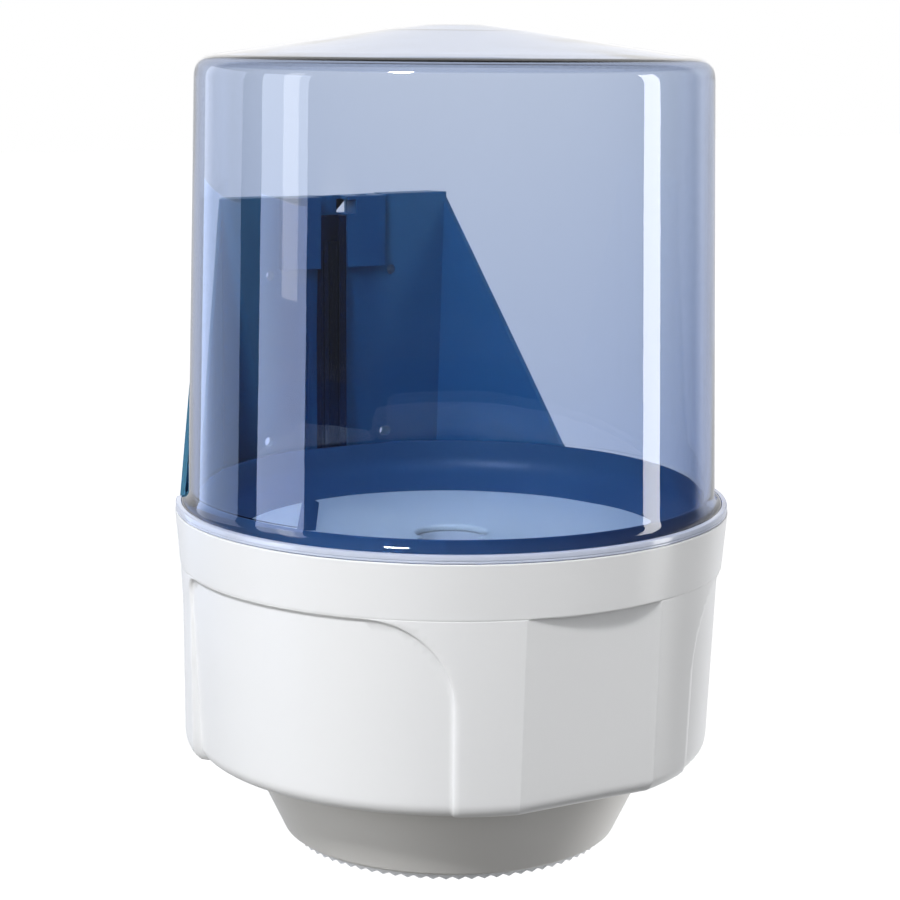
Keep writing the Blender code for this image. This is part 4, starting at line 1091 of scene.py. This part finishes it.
# Floor, light and camera

stage = {"floorZ": -1.5, "halfSize": 30.0, "colour": (0.93, 0.93, 0.93), "glow": 0.85, "roughness": 0.9}


def hidden(made, *rays):
    # rays of these kinds don't meet the object
    for ray in rays:
        setattr(made, "visible_" + ray, False)
    return made


def makeFloor():
    far = stage["halfSize"]
    corners = [(x, y, stage["floorZ"]) for x, y in ((-far, -far), (far, -far), (far, far), (-far, far))]
    mesh = bpy.data.meshes.new("studioFloor")
    mesh.from_pydata(corners, [], [(0, 1, 2, 3)])
    finish, tree, shader = newFinish("paleFloor")
    feed(tree, shader, {
        "Base Color": (*stage["colour"], 1), "Roughness": stage["roughness"],
        "Emission Color": (*stage["colour"], 1), "Emission Strength": stage["glow"],
    })
    mesh.materials.append(finish)
    hidden(addObject("studioFloor", mesh), "diffuse", "glossy", "transmission")


makeFloor()

sky = {
    "paper": (1, 1, 1), "backdrop": (0.74, 0.75, 0.78), "backdropTowards": (0.508, 0.861, 0.0),
    "backdropEdges": (0.62, 0.74), "stops": (0.35, 0.52, 0.75),
    "colours": ((0.08, 0.08, 0.08), (0.10, 0.10, 0.10), (0.20, 0.20, 0.21)),
}


def makeSky():
    world = bpy.data.worlds.new("studio")
    scene.world = world
    world.use_nodes = True
    tree = world.node_tree
    tree.nodes.clear()
    node = partial(outOf, tree)

    # a dim studio, a little brighter upwards
    towards = addNode(tree, "ShaderNodeTexCoord").outputs["Generated"]
    height = addNode(tree, "ShaderNodeSeparateXYZ", towards).outputs["Z"]
    shade = addNode(tree, "ShaderNodeValToRGB", node("ShaderNodeMapRange", height, -1.0))
    stops = shade.color_ramp.elements
    stops[0].position, middle, stops[1].position = sky["stops"]
    stops.new(middle)
    for stop, colour in zip(stops, sky["colours"]):
        stop.color = (*colour, 1)
    dim = node("ShaderNodeBackground", shade.outputs["Color"])
    # with a pale backdrop behind the object, as seen from the photograph's side
    share = node("ShaderNodeVectorMath", towards, sky["backdropTowards"], operation="DOT_PRODUCT")
    backdrop = node("ShaderNodeBackground", (*sky["backdrop"], 1))
    edge = node("ShaderNodeMapRange", share, *sky["backdropEdges"])
    studio = node("ShaderNodeMixShader", edge, dim, backdrop)
    # what is seen directly or straight through the cover is white paper
    paper = node("ShaderNodeBackground", (*sky["paper"], 1))
    rays = addNode(tree, "ShaderNodeLightPath").outputs
    depths = rays["Diffuse Depth"], rays["Glossy Depth"]
    bounced = node("ShaderNodeMath", *depths, operation="ADD", use_clamp=True)
    addNode(tree, "ShaderNodeOutputWorld", node("ShaderNodeMixShader", bounced, paper, studio))


makeSky()

# azimuth from the front, to the right where it is above zero, elevation, distance, (width, height), power,
# tint, and the rays that don't meet the lamp
lampAim = Vector((0, -plan["axisToWall"], 0.05))
plain = (1, 1, 1)
lamps = {
    "key": (-56, 40, 2.4, (0.34, 0.34), 49, plain, ()),
    "fill": (-32, 12, 2.2, (1.4, 1.2), 11.4, (0.99, 1.0, 1.02), ["glossy"]),
    "softBoxA": (-106, 10.42, 1.8, (0.80, 0.601), 4.3, (0.90, 0.98, 1.12), ()),
    "softBoxALow": (-106, -5.5, 1.8, (0.80, 0.409), 3.6, (0.92, 1.10, 1.62), ["diffuse"]),
    "softBoxCore": (-102, 12, 1.75, (0.25, 0.90), 1.6, plain, ()),
    "softBoxB": (-149, 10.65, 1.8, (1.15, 0.661), 2.54, (0.90, 0.98, 1.16), ()),
    "softBoxBLow": (-149, -8.27, 1.8, (1.15, 0.541), 2.4, (0.86, 1.12, 1.72), ["diffuse"]),
    "rightStrip": (61, 0, 1.8, (0.33, 1.6), 12, plain, ()),
    "lowRight": (108, -32, 2.0, (0.30, 0.30), 39, plain, ["glossy"]),
    "lowLeft": (-118, -42, 2.0, (0.4, 0.4), 10.5, (1.0, 0.98, 0.93), ["glossy"]),
    "crownCard": (149.5, 14, 3.0, (1.6, 1.0), 2.5, (1.0, 0.97, 0.91), ()),
    "top": (160, 70, 2.0, (1.2, 1.2), 4, plain, ["glossy"]),
}


def addLamp(name, azimuth, elevation, distance, size, power, tint, missedBy):
    light = bpy.data.lights.new(name, "AREA")
    light.shape = "RECTANGLE"
    light.size, light.size_y = size
    light.energy = power
    light.color = tint
    made = addObject(name, light)
    turn, climb = math.radians(azimuth), math.radians(elevation)
    away = Vector((math.sin(turn) * math.cos(climb), -math.cos(turn) * math.cos(climb), math.sin(climb)))
    made.location = lampAim + away * distance
    made.rotation_mode = "QUATERNION"
    made.rotation_quaternion = away.to_track_quat("Z", "Y")
    hidden(made, "transmission", *missedBy)


for name, lamp in lamps.items():
    addLamp(name, *lamp)

view = {
    "lens": 93.03, "sensor": 36.0, "clip": 0.05, "place": (-0.5171, -1.0034, 0.20705), "toRight": -0.00079,
    "yaw": 30.542, "pitch": 10.19, "roll": 0.4255,
}


def makeCamera():
    data = bpy.data.cameras.new("camera")
    data.lens = view["lens"]
    data.sensor_width = view["sensor"]
    data.clip_start = view["clip"]
    made = addObject("camera", data)
    yaw, pitch, roll = (math.radians(view[key]) for key in ("yaw", "pitch", "roll"))
    right = Vector((math.cos(yaw), -math.sin(yaw), 0))
    ahead = Vector((math.sin(yaw), math.cos(yaw), 0)) * math.cos(pitch) - Vector((0, 0, 1)) * math.sin(pitch)
    up = right.cross(ahead)
    turnedRight = right * math.cos(roll) + up * math.sin(roll)
    turnedUp = up * math.cos(roll) - right * math.sin(roll)
    matrix = Matrix((turnedRight, turnedUp, -ahead)).transposed().to_4x4()
    matrix.translation = Vector(view["place"]) + right * view["toRight"]
    made.matrix_world = matrix
    scene.camera = made


makeCamera()
scene.view_settings.view_transform = "Standard"
print("floor, light and camera made")

bpy.context.view_layer.update()
